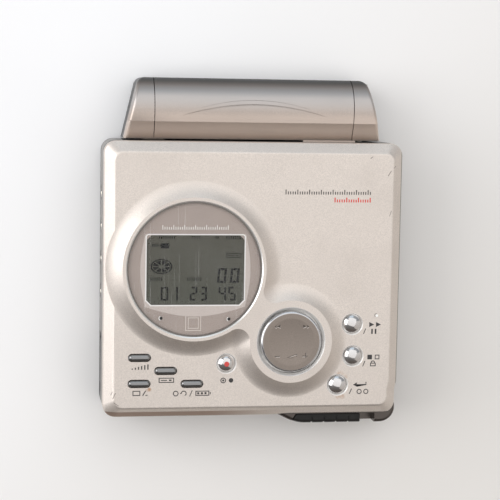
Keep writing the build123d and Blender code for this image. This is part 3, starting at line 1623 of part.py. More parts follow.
def make_case_screw():
    """The slotted screw that clamps the battery case to the recorder."""
    with BuildPart() as case_screw:
        rod_y(case_screw_x, inner_y - 0.9, case_rear - 2.4, case_screw_level, case_screw_radius)
        rod_y(case_screw_x, case_rear - 2.5, case_rear - 0.9, case_screw_level, case_screw_head_radius)
        block(
            (case_screw_x - 3.0, case_rear - 1.5, case_screw_level - 0.35),
            (case_screw_x + 3.0, case_rear, case_screw_level + 0.35),
            Mode.SUBTRACT,
        )
    save(case_screw.part, "case_screw")


def make_case_bridge():
    """The plastic connector between the recorder and the battery case."""
    with BuildPart() as case_bridge:
        block((bridge_left, half_depth, 8.0), (bridge_right, case_front, case_face_top - 0.1))
        block((-case_cover_half - 2.5, half_depth, 3.0), (-case_cover_half + 3.5, case_front, 8.0))
    save(case_bridge.part, "case_bridge")


def main():
    """Makes every piece."""
    os.makedirs("parts", exist_ok=True)
    for make in (
        make_base_frame, make_bottom_cover, make_base_screws, make_main_board, make_board_chips,
        make_audio_jacks, make_dc_jack, make_battery_pack, make_pack_contacts, make_battery_door,
        make_door_pin, make_hinge_brackets, make_hinge_pins, make_deck_chassis, make_chassis_dampers,
        make_chassis_screws, make_guide_rods, make_spindle_motor, make_turntable, make_sled_motor,
        make_motor_pinion, make_screw_gear, make_lead_screw, make_pickup_sled, make_pickup_lens,
        make_sled_nut, make_head_arm, make_arm_pin, make_head_tip, make_lid_shell, make_display_trim,
        make_display_window, make_display_mask, make_lcd_panel, make_lcd_frame, make_key_board,
        make_key_domes, make_lid_inner_cover, make_lid_screws, make_record_dot, make_rocker_pad,
        make_rocker_carrier, make_disc_holder, make_slider_knob, make_latch_plate, make_case_body,
        make_case_cover, make_cover_pin, make_aa_cell, make_cell_contacts, make_case_screw,
        make_case_bridge,
    ):
        make()
    for node, (place, radius) in round_keys().items():
        make_round_key(node, place, radius)
    for node, place in slot_key_places.items():
        make_slot_key(node, place)


main()
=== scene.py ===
"""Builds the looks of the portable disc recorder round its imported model, as an add-on."""

from math import cos, pi, radians, sin

import bmesh
import bpy
from bpy.props import FloatProperty, FloatVectorProperty, PointerProperty
from mathutils import Euler, Matrix, Vector


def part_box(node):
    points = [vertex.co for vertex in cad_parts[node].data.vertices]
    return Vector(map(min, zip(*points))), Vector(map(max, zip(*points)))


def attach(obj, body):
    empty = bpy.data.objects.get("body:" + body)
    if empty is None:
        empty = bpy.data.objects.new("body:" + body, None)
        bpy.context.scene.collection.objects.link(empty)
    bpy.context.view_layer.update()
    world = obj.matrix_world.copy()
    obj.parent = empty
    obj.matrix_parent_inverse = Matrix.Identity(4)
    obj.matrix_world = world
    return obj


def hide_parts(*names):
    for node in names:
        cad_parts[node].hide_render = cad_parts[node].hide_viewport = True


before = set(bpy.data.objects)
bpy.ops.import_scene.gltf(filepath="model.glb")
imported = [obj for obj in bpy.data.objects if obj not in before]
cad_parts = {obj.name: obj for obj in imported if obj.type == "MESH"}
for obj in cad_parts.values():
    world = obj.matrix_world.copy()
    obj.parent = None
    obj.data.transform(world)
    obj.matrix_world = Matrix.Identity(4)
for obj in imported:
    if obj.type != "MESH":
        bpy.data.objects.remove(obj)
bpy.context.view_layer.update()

bl_info = {
    "name": "Portable disc recorder",
    "version": (1, 0, 0),
    "blender": (4, 5, 0),
    "location": "View3D > Sidebar > Recorder",
    "description": "Finishes the recorder's shells, keys, display, battery case and inside",
    "category": "Object",
}

MM = 0.001


def low(node):
    """The lowest corner of a node's box, in millimetres."""
    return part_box(node)[0] / MM


def high(node):
    """The highest corner of a node's box, in millimetres."""
    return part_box(node)[1] / MM


def centre(node):
    """The middle of a node's box, in millimetres."""
    return (low(node) + high(node)) / 2


# places and levels in millimetres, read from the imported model
WINDOW = centre("display_window")
WINDOW_RADIUS = high("display_window").x - WINDOW.x
VIEW = centre("lcd_panel")
PAD = centre("rocker_pad")
PAD_RADIUS = high("rocker_pad").x - PAD.x
MOUND_HEIGHT = 2.2  # the raised rings over the lid's face
LID_TOP = high("lid_shell").z - MOUND_HEIGHT
LCD_TOP = high("lcd_panel").z
MASK_TOP = high("display_mask").z
BODY_LEFT, BODY_FRONT = low("bottom_cover").x, low("bottom_cover").y
BODY_RIGHT = high("bottom_cover").x

# sizes in millimetres that the model's boxes don't give, and counts
ROUND_KEYS = ("play_button", "stop_button", "enter_button", "record_button")
KEY_SEAT = 2.82  # radius of the bright edge round the record key
KEY_SEAT_MORE = 0.2  # how much wider it is round the others
MASK_EDGE = 0.04  # softness of a mask's edge
VIEW_HALF_WIDTH, VIEW_HALF_DEPTH = 13.25, 9.45  # the part of the display that shows
HOLE_PLACES = ((-9.05, -13.15), (9.4, -13.45))  # from the middle of the window
WINDOW_RIM = 0.28
PAD_DISH_DEPTH, PAD_DISH_RADIUS = 0.35, 60.0
# from a surface up to the light field, the print, the marks on the window and the signs
FIELD_LIFT = 0.002
PRINT_LIFT = 0.004
ROOF_LIFT = 0.005
SIGN_LIFT = 0.006
JACK_PITCH, JACK_INSET = 9.0, 3.2  # between the sockets, and from their block's front to the first
SIDE_SIGN_RISE = 4.1
SPIN_STEPS, DISC_STEPS = 96, 32
SMOOTH_ANGLE = 30.0  # degrees
SEGMENT_GAP = 0.18  # share of a digit's stroke

# the studio, in metres and watts; the drop of the floor and the camera, in millimetres
FLOOR_SIZE, FLOOR_DROP = 2.0, 0.05
LAMPS = (
    ("window_light", (-1.14, 0.26, 0.54), 1.2, 12.5, (0.98, 0.985, 1.0)),
    ("ceiling_light", (0.10, 0.36, 1.25), 2.1, 12.4, (1.0, 0.985, 0.975)),
    ("rear_light", (0.10, 1.3, 0.40), 0.8, 1.2, (0.66, 0.84, 1.0)),
    ("right_light", (1.2, -0.35, 0.5), 1.6, 3.6, (1.0, 0.93, 0.86)),
)
ROOM_FRONT, ROOM_REAR = (0.15, 0.132, 0.120, 1.0), (0.48, 0.51, 0.54, 1.0)
CAMERA_PLACE = Vector((-63.568, 52.647, 427.1))
CAMERA_TURN = Euler((-0.10969, -0.1499, 0.01723))
CAMERA_LENS, CAMERA_SENSOR = 109.505, 36.0


# ---------------------------------------------------------------- properties
def length(name, description, default):
    """A length property in metres."""
    return FloatProperty(name=name, description=description, default=default, min=0.0, unit="LENGTH")


def share(name, description, default):
    """A property between 0 and 1."""
    return FloatProperty(
        name=name, description=description, default=default, min=0.0, max=1.0, subtype="FACTOR"
    )


def colour(name, description, default):
    """A colour property."""
    return FloatVectorProperty(
        name=name, description=description, default=default, min=0.0, max=1.0, size=3, subtype="COLOR"
    )


class RecorderSizes(bpy.types.PropertyGroup):
    """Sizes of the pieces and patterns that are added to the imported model."""

    print_height: length("Print height", "How far printed marks stand out", 0.015 * MM)
    line_width: length("Line width", "Width of the strokes of printed marks", 0.24 * MM)
    grain: length("Grain", "Size of the grain of the painted metal", 0.26 * MM)
    wear: share("Wear", "How much the finishes show handling", 0.6)


class RecorderColours(bpy.types.PropertyGroup):
    """Colours of the finishes."""

    shell: colour("Shell", "Silver of the lid", (0.70, 0.635, 0.58))
    base: colour("Base", "Dark silver of the base", (0.31, 0.295, 0.275))
    # The housing colour is painted shade: the lock housing's walls lie in shadow, and this very dark tone
    # stands in for it.
    housing: colour("Housing", "Dark bronze of the lock housing", (0.095, 0.082, 0.074))
    case: colour("Case", "Warm grey of the battery case", (0.48, 0.405, 0.355))
    pad: colour("Pad", "Dark silver of the round pad", (0.275, 0.235, 0.205))
    mask: colour("Mask", "Ground round the display", (0.38, 0.315, 0.28))
    display: colour("Display", "Ground of the display", (0.074, 0.070, 0.053))
    ink: colour("Ink", "Printed marks", (0.035, 0.032, 0.032))
    red: colour("Red", "Red marks and the record dot", (0.62, 0.035, 0.025))
    knob: colour("Knob", "Dark knob of the lid lock", (0.012, 0.011, 0.010))
    backdrop: colour("Backdrop", "Floor under the recorder", (0.88, 0.87, 0.86))


def sizes():
    """The sizes in use."""
    return bpy.context.scene.recorder_sizes


def colours():
    """The colours in use."""
    return bpy.context.scene.recorder_colours


def shade(rgb, factor=1.0):
    """A colour made lighter or darker, with full alpha."""
    return tuple(min(1.0, channel * factor) for channel in rgb) + (1.0,)


# ---------------------------------------------------------------- node trees
class Tree:
    """Places and links the nodes of one material or group."""

    def __init__(self, tree):
        self.tree = tree

    def node(self, kind, inputs=None, **settings):
        """Adds a node, sets it and feeds its inputs."""
        node = self.tree.nodes.new(kind)
        for name, value in settings.items():
            setattr(node, name, value)
        for name, value in (inputs or {}).items():
            self.feed(node.inputs[name], value)
        return node

    def feed(self, socket, value):
        """Links a socket to another one, or sets its value."""
        if isinstance(value, bpy.types.NodeSocket):
            self.tree.links.new(value, socket)
        else:
            socket.default_value = value

    def math(self, operation, first, second=0.0, clamp=False):
        """A calculation with one or two numbers."""
        inputs = {0: first, 1: second}
        return self.node("ShaderNodeMath", inputs, operation=operation, use_clamp=clamp).outputs[0]

    def times(self, first, second):
        """One number times another."""
        return self.math("MULTIPLY", first, second)

    def plus(self, first, second):
        """One number added to another."""
        return self.math("ADD", first, second)

    def vector(self, operation, first, second=(0.0, 0.0, 0.0), output="Vector"):
        """A calculation with two vectors."""
        return self.node("ShaderNodeVectorMath", {0: first, 1: second}, operation=operation).outputs[output]

    def remap(self, value, low, high, to_low=0.0, to_high=1.0, smooth=False):
        """Moves a value from one range to another, held at the ends."""
        kind = "SMOOTHSTEP" if smooth else "LINEAR"
        inputs = {"Value": value, "From Min": low, "From Max": high, "To Min": to_low, "To Max": to_high}
        return self.node("ShaderNodeMapRange", inputs, interpolation_type=kind).outputs["Result"]

    def mix(self, factor, first, second):
        """Blends two colours."""
        inputs = {0: factor, 6: first, 7: second}
        return self.node("ShaderNodeMix", inputs, data_type="RGBA").outputs[2]

    def noise(self, place, scale, detail=2.0, roughness=0.5):
        """Fractal noise between 0 and 1."""
        inputs = {"Vector": place, "Scale": scale, "Detail": detail, "Roughness": roughness}
        return self.node("ShaderNodeTexNoise", inputs).outputs["Fac"]

    def group(self, build, output, **inputs):
        """Places the node group that a function builds, feeds its inputs and gives one output or all."""
        tree = bpy.data.node_groups.get(build.__name__) or build(build.__name__)
        node = self.node("ShaderNodeGroup", node_tree=tree)
        for name, value in inputs.items():
            self.feed(node.inputs[name], value)
        return node.outputs[output] if output else node.outputs


class Group(Tree):
    """A shader node group with named inputs and outputs."""

    def __init__(self, name, inputs, outputs):
        super().__init__(bpy.data.node_groups.new(name, "ShaderNodeTree"))
        for label, default in inputs.items():
            kind = "NodeSocketFloat" if isinstance(default, float) else "NodeSocketVector"
            socket = self.tree.interface.new_socket(label, in_out="INPUT", socket_type=kind)
            socket.default_value = default
        for label in outputs:
            self.tree.interface.new_socket(label, in_out="OUTPUT", socket_type="NodeSocketFloat")
        self.given = self.tree.nodes.new("NodeGroupInput").outputs
        self.result = self.tree.nodes.new("NodeGroupOutput").inputs


ORIGIN = (0.0, 0.0, 0.0)


def paint_grain(name):
    """Fine speckle of metallic paint, with slow clouds in it."""
    g = Group(name, {"Vector": ORIGIN, "Size": 0.3 * MM, "Clouds": 9.0 * MM}, ["Grain", "Cloud"])
    fine = g.noise(g.given["Vector"], g.math("DIVIDE", 1.0, g.given["Size"]), 2.0, 0.7)
    g.feed(g.result["Grain"], g.remap(fine, 0.30, 0.70))
    slow = g.noise(g.given["Vector"], g.math("DIVIDE", 1.0, g.given["Clouds"]), 3.0, 0.55)
    g.feed(g.result["Cloud"], g.remap(slow, 0.3, 0.7))
    return g.tree


def handling_marks(name):
    """Greasy smudges and fine hairline scratches."""
    g = Group(name, {"Vector": ORIGIN, "Amount": 0.5, "Seed": 0.0}, ["Smudge", "Scratch"])
    shift = g.node("ShaderNodeCombineXYZ", {0: g.given["Seed"], 1: g.given["Seed"]}).outputs[0]
    place = g.vector("ADD", g.given["Vector"], shift)
    blotch = g.remap(g.noise(place, 55.0, 4.0, 0.6), 0.48, 0.72, smooth=True)
    g.feed(g.result["Smudge"], g.times(blotch, g.given["Amount"]))
    hairs = None
    for turn, scale in ((0.5, 420.0), (2.1, 300.0)):
        inputs = {"Vector": place, "Scale": (scale * 6.0, scale * 0.11, scale), "Rotation": (0.0, 0.0, turn)}
        lines = g.noise(g.node("ShaderNodeMapping", inputs).outputs["Vector"], 1.0, 1.0, 0.4)
        thin = g.remap(lines, 0.70, 0.76)
        hairs = thin if hairs is None else g.math("MAXIMUM", hairs, thin)
    patches = g.remap(g.noise(place, 38.0, 2.0, 0.5), 0.50, 0.66)
    g.feed(g.result["Scratch"], g.times(g.times(hairs, patches), g.given["Amount"]))
    return g.tree


def upright_distance(name):
    """The distance from an upright axis."""
    g = Group(name, {"Vector": ORIGIN, "Centre": ORIGIN}, ["Distance"])
    flat = g.vector("MULTIPLY", g.vector("SUBTRACT", g.given["Vector"], g.given["Centre"]), (1.0, 1.0, 0.0))
    g.feed(g.result["Distance"], g.vector("LENGTH", flat, output="Value"))
    return g.tree


def stroke_mark(name):
    """A thin straight mark seen from above, from one place to another, ragged along its edge."""
    g = Group(name, {"Vector": ORIGIN, "Start": ORIGIN, "End": ORIGIN, "Width": 0.2 * MM}, ["Mask"])
    flat = g.vector("MULTIPLY", g.given["Vector"], (1.0, 1.0, 0.0))
    along = g.vector("SUBTRACT", g.given["End"], g.given["Start"])
    away = g.vector("SUBTRACT", flat, g.given["Start"])
    squared = g.plus(g.vector("DOT_PRODUCT", along, along, "Value"), 1e-9)
    where = g.math("DIVIDE", g.vector("DOT_PRODUCT", away, along, "Value"), squared, clamp=True)
    step = g.node("ShaderNodeVectorMath", {0: along, "Scale": where}, operation="SCALE").outputs["Vector"]
    reach = g.vector("DISTANCE", away, step, "Value")
    rag = g.times(g.noise(g.given["Vector"], 1800.0, 2.0), g.given["Width"])
    inner = g.times(g.given["Width"], 0.7)
    outer = g.times(g.given["Width"], 1.3)
    g.feed(g.result["Mask"], g.remap(g.plus(reach, rag), inner, outer, 1.0, 0.0, smooth=True))
    return g.tree


def brushed_lines(name):
    """Fine parallel lines along one direction."""
    g = Group(name, {"Vector": ORIGIN, "Stretch": (40.0, 3000.0, 3000.0)}, ["Lines"])
    place = g.vector("MULTIPLY", g.given["Vector"], g.given["Stretch"])
    g.feed(g.result["Lines"], g.remap(g.noise(place, 1.0, 3.0, 0.6), 0.3, 0.7))
    return g.tree


def settled_dust(name):
    """Dust and fluff in patches."""
    g = Group(name, {"Vector": ORIGIN, "Amount": 0.3}, ["Mask"])
    patches = g.remap(g.noise(g.given["Vector"], 240.0, 4.0, 0.7), 0.45, 0.75, smooth=True)
    specks = g.remap(g.noise(g.given["Vector"], 2600.0, 2.0, 0.6), 0.60, 0.70)
    g.feed(g.result["Mask"], g.times(g.math("MAXIMUM", patches, specks), g.given["Amount"]))
    return g.tree


class Finish(Tree):
    """A node material with its Principled shader and its Object coordinates."""

    def __init__(self, name, **constants):
        self.material = bpy.data.materials.new(name)
        self.material.use_nodes = True
        super().__init__(self.material.node_tree)
        self.shader = self.tree.nodes["Principled BSDF"]
        self.place = self.node("ShaderNodeTexCoord").outputs["Object"]
        for socket, value in constants.items():
            self.shader.inputs[socket.replace("_", " ")].default_value = value

    def drive(self, name, value):
        """Feeds one input of the shader."""
        self.feed(self.shader.inputs[name], value)

    def grain(self, size=0.3, clouds=9.0):
        """Speckle and clouds of paint or moulded plastic, sizes in millimetres."""
        given = self.group(paint_grain, None, Vector=self.place, Size=size * MM, Clouds=clouds * MM)
        return given["Grain"], given["Cloud"]

    def handling(self, amount, seed=0.0):
        """Smudges and hairline scratches."""
        given = self.group(handling_marks, None, Vector=self.place, Amount=amount * sizes().wear, Seed=seed)
        return given["Smudge"], given["Scratch"]

    def around(self, x, y):
        """The distance from the upright axis at a place in millimetres."""
        return self.group(upright_distance, "Distance", Vector=self.place, Centre=(x * MM, y * MM, 0.0))

    def spot(self, x, y, radius, edge):
        """A round mask, soft over an edge, seen from above, in millimetres."""
        return self.remap(self.around(x, y), radius * MM, (radius + edge) * MM, 1.0, 0.0, smooth=True)

    def stroke(self, start, end, width):
        """A mark from one place to another, in millimetres."""
        places = {"Start": Vector((*start, 0.0)) * MM, "End": Vector((*end, 0.0)) * MM}
        return self.group(stroke_mark, "Mask", Vector=self.place, Width=width * MM, **places)

    def lines(self, stretch):
        """Brushing along the direction with the smallest stretch."""
        return self.group(brushed_lines, "Lines", Vector=self.place, Stretch=stretch)

    def dust(self, amount):
        """Dust in patches."""
        return self.group(settled_dust, "Mask", Vector=self.place, Amount=amount * sizes().wear)

    def bump(self, height, depth, strength=1.0):
        """Raises the surface by a height between 0 and 1, with depth in millimetres."""
        node = self.node("ShaderNodeBump", {"Height": height, "Strength": strength, "Distance": depth * MM})
        self.drive("Normal", node.outputs["Normal"])

    def done(self, base, roughness, height, depth, strength=1.0):
        """Feeds the colour, the roughness and the bump, and gives the material."""
        self.drive("Base Color", base)
        self.drive("Roughness", roughness)
        self.bump(height, depth, strength)
        return self.material


# ---------------------------------------------------------------- finishes
def painted_metal(name, rgb, rough=0.40, grain=0.3, contrast=0.10, seed=0.0):
    """Silver paint with fine grain, clouds, smudges and hairlines. Gives the finish and its base colour."""
    f = Finish(name, Metallic=0.85, IOR=1.5)
    speckle, cloud = f.grain(grain)
    smudge, scratch = f.handling(1.0, seed)
    base = f.mix(speckle, shade(rgb, 1.0 - contrast), shade(rgb, 1.0 + contrast))
    base = f.mix(f.times(cloud, 0.5), base, shade(rgb, 0.97))
    base = f.mix(f.times(smudge, 0.25), base, shade(rgb, 0.86))
    base = f.mix(f.times(scratch, 0.35), base, shade(rgb, 1.25))
    roughness = f.plus(rough - 0.04, f.times(speckle, 0.08))
    f.matt = f.plus(roughness, f.times(smudge, 0.10))
    f.drive("Roughness", f.matt)
    f.bump(f.math("SUBTRACT", speckle, f.times(scratch, 0.8)), 0.012, 0.35)
    return f, base


def lid_paint():
    """The lid's silver paint with its nicks, rust spots, painted shade over the left of its front bevel and a
    painted dark line along its right edge.
    """
    c = colours()
    grain = sizes().grain / MM
    f, base = painted_metal("lid_silver_paint", c.shell, rough=0.45, grain=grain, contrast=0.16, seed=0.31)
    for start, end, width in (
        ((36.5, 29.0), (37.3, 30.3), 0.20),
        ((38.0, 31.0), (38.6, 31.6), 0.16),
        ((37.1, 17.9), (37.6, 19.3), 0.14),
        ((-38.9, -31.2), (-38.5, -30.2), 0.16),
        ((-38.4, -32.2), (-37.7, -30.6), 0.20),
        ((-38.1, -33.2), (-36.9, -34.0), 0.18),
        ((31.5, 33.7), (32.0, 34.1), 0.22),
    ):
        base = f.mix(f.times(f.stroke(start, end, width), 0.85), base, shade((0.20, 0.17, 0.15)))
    rust = f.noise(f.place, 900.0, 3.0, 0.6)
    enter, edit = centre("enter_button"), high("edit_key")
    for x, y, radius, strength in (
        (edit.x - 0.6, edit.y - 3.0, 0.6, 0.75),
        (edit.x - 1.3, edit.y - 3.3, 0.5, 0.45),
        (enter.x + 0.6, enter.y + 3.0, 1.0, 0.5),
        (enter.x + 2.0, enter.y + 2.5, 0.9, 0.5),
        (enter.x + 1.4, enter.y - 3.3, 0.8, 0.55),
        (enter.x + 0.2, enter.y - 3.3, 0.7, 0.4),
    ):
        stain = f.times(f.spot(x, y, radius * 0.3, radius), f.remap(rust, 0.35, 0.6))
        base = f.mix(f.times(stain, strength), base, shade((0.42, 0.20, 0.07)))
    cut = f.spot(WINDOW.x, WINDOW.y, WINDOW_RADIUS + 0.7, MASK_EDGE)
    cut = f.math("MAXIMUM", cut, f.spot(PAD.x, PAD.y, PAD_RADIUS + 1.1, MASK_EDGE))
    for key in ROUND_KEYS:
        place = centre(key)
        reach = KEY_SEAT if key == "record_button" else KEY_SEAT + KEY_SEAT_MORE
        cut = f.math("MAXIMUM", cut, f.spot(place.x, place.y, reach, MASK_EDGE))
    base = f.mix(cut, base, shade((0.93, 0.91, 0.88)))
    place = f.node("ShaderNodeSeparateXYZ", {0: f.place}).outputs
    # Painted shade: a thin dark line along the lid's right edge, where its rounded edge turns away from the
    # light.
    edge = f.remap(place["X"], (BODY_RIGHT - 0.34) * MM, (BODY_RIGHT - 0.24) * MM)
    front = f.remap(place["Y"], (BODY_FRONT + 1.75) * MM, (BODY_FRONT + 1.55) * MM)
    # Painted shade: the left part of the front bevel is darker and browner, as it faces away from the light.
    painted_front_shade = f.times(front, f.remap(place["X"], 12.0 * MM, -14.0 * MM, smooth=True))
    base = f.mix(f.times(painted_front_shade, 0.9), base, shade((0.33, 0.24, 0.19)))
    f.drive("Base Color", f.mix(edge, base, shade((0.16, 0.14, 0.125))))
    f.drive("Roughness", f.remap(cut, 0.0, 1.0, f.matt, 0.36))
    return f.material


def base_paint():
    """The base's dark silver, with painted shade in bands under the lid's edge and along the foot, and
    painted shade as a dark bronze tone on the lock housing round its front corner.
    """
    c = colours()
    f, base = painted_metal("base_silver_paint", c.base, rough=0.36, contrast=0.07, seed=1.4)
    place = f.node("ShaderNodeSeparateXYZ", {0: f.place}).outputs
    front = f.remap(place["Y"], (BODY_FRONT - 0.02) * MM, (BODY_FRONT - 0.12) * MM)
    side = f.remap(place["X"], (BODY_RIGHT + 0.02) * MM, (BODY_RIGHT + 0.12) * MM)
    # Painted shade: the lock housing that stands out at the front and right gets a very dark colour for its
    # shaded walls; its lower roughness is its gloss.
    housing = f.math("MAXIMUM", front, side)
    # Painted shade: darker bands under the lid's edge and along the foot, where the parting gap and the
    # bottom edge lie in shadow.
    upper, lower = f.remap(place["Z"], 11.9 * MM, 12.3 * MM), f.remap(place["Z"], 2.6 * MM, 2.2 * MM)
    painted_gap_shade = f.math("MAXIMUM", upper, lower)
    base = f.mix(f.times(painted_gap_shade, 0.85), base, shade(c.base, 0.3))
    f.drive("Base Color", f.mix(housing, base, shade(c.housing)))
    f.drive("Roughness", f.remap(housing, 0.0, 1.0, f.matt, 0.26))
    return f.material


def case_paint():
    """The battery case's warm paint, with painted light on its front facet and crest, a painted cool
    reflection towards the rear, and painted shade that goes near black over the rear and along the foot.
    """
    rgb = tuple(colours().case)
    f, base = painted_metal("case_paint", rgb, rough=0.36, contrast=0.12, seed=2.2)
    place = f.node("ShaderNodeSeparateXYZ", {0: f.place}).outputs
    start = low("case_body").y
    # Painted light: the front facet is lighter, and the crest just behind it lighter still, less so towards
    # the left end, as light falls on them.
    painted_facet_light = f.remap(place["Y"], (start + 4.75) * MM, (start + 4.65) * MM)
    base = f.mix(painted_facet_light, base, shade(rgb, 1.3))
    painted_crest_light = f.remap(place["Y"], (start + 7.5) * MM, (start + 4.8) * MM)
    painted_crest_light = f.times(painted_crest_light, f.remap(place["X"], -34.0 * MM, -20.0 * MM, 0.1, 1.0, smooth=True))
    base = f.mix(f.times(painted_crest_light, f.math("SUBTRACT", 1.0, painted_facet_light)), base, shade(rgb, 1.45))
    # Painted reflection: a cool grey over the top towards the rear, standing in for the bluish rear that the
    # rounded top reflects.
    painted_cool_light = f.remap(place["Y"], (start + 6.0) * MM, (start + 11.0) * MM, smooth=True)
    base = f.mix(f.times(painted_cool_light, 0.8), base, shade((0.45, 0.43, 0.42)))
    # Painted shade: the top darkens as it falls away to the rear, and goes near black over the rear and along
    # the foot.
    painted_rear_falloff = f.remap(place["Y"], (start + 11.2) * MM, (start + 15.2) * MM, smooth=True)
    base = f.mix(f.times(painted_rear_falloff, 0.85), base, shade(rgb, 0.36))
    rear = f.remap(place["Y"], (start + 14.0) * MM, (start + 16.2) * MM, smooth=True)
    painted_foot_shade = f.remap(place["Z"], 10.5 * MM, 9.0 * MM)
    f.drive("Base Color", f.mix(f.math("MAXIMUM", rear, painted_foot_shade), base, shade((0.045, 0.046, 0.045))))
    return f.material


def simple_paint(name, rgb, **values):
    """Painted metal with nothing more on it."""
    f, base = painted_metal(name, rgb, **values)
    f.drive("Base Color", base)
    return f.material


def chrome(name, rgb, rough=0.10, seed=0.0):
    """Bright plating with a few smudges."""
    f = Finish(name, Metallic=1.0)
    smudge, scratch = f.handling(0.8, seed)
    speckle, cloud = f.grain(0.5, 3.0)
    f.drive("Base Color", f.mix(cloud, shade(rgb, 0.94), shade(rgb)))
    roughness = f.plus(rough, f.times(smudge, 0.16))
    f.drive("Roughness", f.plus(roughness, f.times(scratch, 0.2)))
    f.bump(speckle, 0.004, 0.2)
    return f.material


def moulded_plastic(name, rgb, rough=0.45, grain=0.25, coat=0.0, seed=0.0, dusty=0.3, shine=0.5):
    """Moulded plastic with a fine spark-eroded grain."""
    f = Finish(name, IOR=1.49, Specular_IOR_Level=shine, Coat_Weight=coat, Coat_Roughness=0.12)
    speckle, cloud = f.grain(grain)
    smudge, scratch = f.handling(0.7, seed)
    base = f.mix(speckle, shade(rgb, 0.88), shade(rgb, 1.12))
    base = f.mix(f.times(cloud, 0.4), base, shade(rgb, 0.9))
    base = f.mix(f.times(scratch, 0.5), base, shade(rgb, 1.7))
    base = f.mix(f.dust(dusty), base, shade((0.42, 0.40, 0.37)))
    return f.done(base, f.plus(rough, f.times(smudge, 0.15)), speckle, 0.02, 0.5)


def brushed_metal(name, rgb, rough=0.28, stretch=(60.0, 3500.0, 3500.0), seed=0.0):
    """Turned or rolled metal with fine lines."""
    f = Finish(name, Metallic=1.0)
    lines = f.lines(stretch)
    smudge, scratch = f.handling(0.8, seed)
    base = f.mix(lines, shade(rgb, 0.86), shade(rgb, 1.06))
    base = f.mix(f.times(smudge, 0.3), base, shade(rgb, 0.8))
    return f.done(base, f.plus(rough, f.times(lines, 0.12)), f.plus(lines, scratch), 0.006, 0.4)


def cast_metal(name, rgb):
    """Dull die-cast metal with a coarse skin."""
    f = Finish(name, Metallic=0.9)
    speckle, cloud = f.grain(0.5, 5.0)
    base = f.mix(speckle, shade(rgb, 0.85), shade(rgb, 1.1))
    return f.done(
        f.mix(f.dust(0.4), base, shade((0.40, 0.38, 0.35))),
        f.plus(0.46, f.times(cloud, 0.14)),
        speckle, 0.03, 0.6,
    )


def rubber(name, rgb):
    """Soft rubber with a powdery bloom."""
    f = Finish(name, IOR=1.45)
    speckle, cloud = f.grain(0.35, 2.5)
    return f.done(
        f.mix(f.times(cloud, 0.5), shade(rgb), shade(rgb, 1.8)),
        f.plus(0.68, f.times(speckle, 0.15)),
        speckle, 0.03, 0.4,
    )


def circuit_board(name, rgb):
    """Solder mask over copper traces, with tinned pads."""
    f = Finish(name, IOR=1.5, Coat_Weight=0.4, Coat_Roughness=0.15)
    cells = {"Vector": f.place, "Scale": 420.0, "Randomness": 0.35}
    edge = f.node("ShaderNodeTexVoronoi", cells, feature="DISTANCE_TO_EDGE", distance="CHEBYCHEV")
    traces = f.remap(edge.outputs["Distance"], 0.10, 0.16)
    cells = {"Vector": f.place, "Scale": 620.0, "Randomness": 0.5}
    dots = f.node("ShaderNodeTexVoronoi", cells, feature="F1")
    pads = f.remap(dots.outputs["Distance"], 0.16, 0.13)
    base = f.mix(traces, shade(rgb, 1.5), shade(rgb, 0.85))
    base = f.mix(pads, base, shade((0.62, 0.58, 0.50)))
    f.drive("Base Color", f.mix(f.dust(0.4), base, shade((0.35, 0.35, 0.32))))
    f.drive("Metallic", f.times(pads, 0.9))
    f.drive("Roughness", f.remap(pads, 0.0, 1.0, 0.42, 0.30))
    f.bump(f.plus(f.times(traces, -0.5), pads), 0.03, 0.6)
    return f.material


def chip_package(name, rgb):
    """Matt epoxy of a chip, finely pitted."""
    f = Finish(name, IOR=1.5)
    speckle, cloud = f.grain(0.12, 1.5)
    return f.done(
        f.mix(speckle, shade(rgb, 0.8), shade(rgb, 1.3)),
        f.plus(0.52, f.times(cloud, 0.12)),
        speckle, 0.01, 0.5,
    )


def cell_sleeve(name, metal, sleeve, split):
    """The shrunk sleeve of a cell: bare metal at its left end and a printed colour on the rest."""
    f = Finish(name, Coat_Weight=0.5, Coat_Roughness=0.18)
    along = f.node("ShaderNodeSeparateXYZ", {0: f.place}).outputs["X"]
    band = f.remap(along, split * MM, (split + 0.15) * MM)
    speckle, cloud = f.grain(0.4, 6.0)
    printed = f.mix(f.times(cloud, 0.4), shade(sleeve), shade(sleeve, 0.8))
    f.drive("Base Color", f.mix(band, shade(metal), printed))
    f.drive("Metallic", f.remap(band, 0.0, 1.0, 0.9, 0.15))
    f.drive("Roughness", f.plus(0.24, f.times(speckle, 0.08)))
    smudge, scratch = f.handling(0.8, 0.7)
    f.bump(f.plus(smudge, scratch), 0.01, 0.3)
    return f.material


def printed_ink(name, rgb, metallic=0.0):
    """Printed ink, slightly uneven and worn thin in places."""
    f = Finish(name, IOR=1.5, Metallic=metallic)
    speckle, cloud = f.grain(0.12, 1.2)
    base = f.mix(f.times(speckle, 0.5), shade(rgb), shade(rgb, 1.5))
    return f.done(base, f.plus(0.42, f.times(cloud, 0.2)), speckle, 0.004, 0.4)


def clear_window():
    """The thin clear cover over the display: almost all see-through, with a mirror gloss on top."""
    f = Finish("window_clear", Metallic=1.0)
    smudge, scratch = f.handling(1.0, 0.17)
    f.drive("Base Color", f.mix(smudge, shade((0.95, 0.95, 0.95)), shade((0.8, 0.8, 0.8))))
    f.drive("Roughness", f.plus(0.05, f.times(smudge, 0.3)))
    haze = f.plus(f.times(scratch, 0.20), f.times(smudge, 0.015))
    f.drive("Alpha", f.plus(0.014, haze))
    f.bump(scratch, 0.003, 0.3)
    return f.material


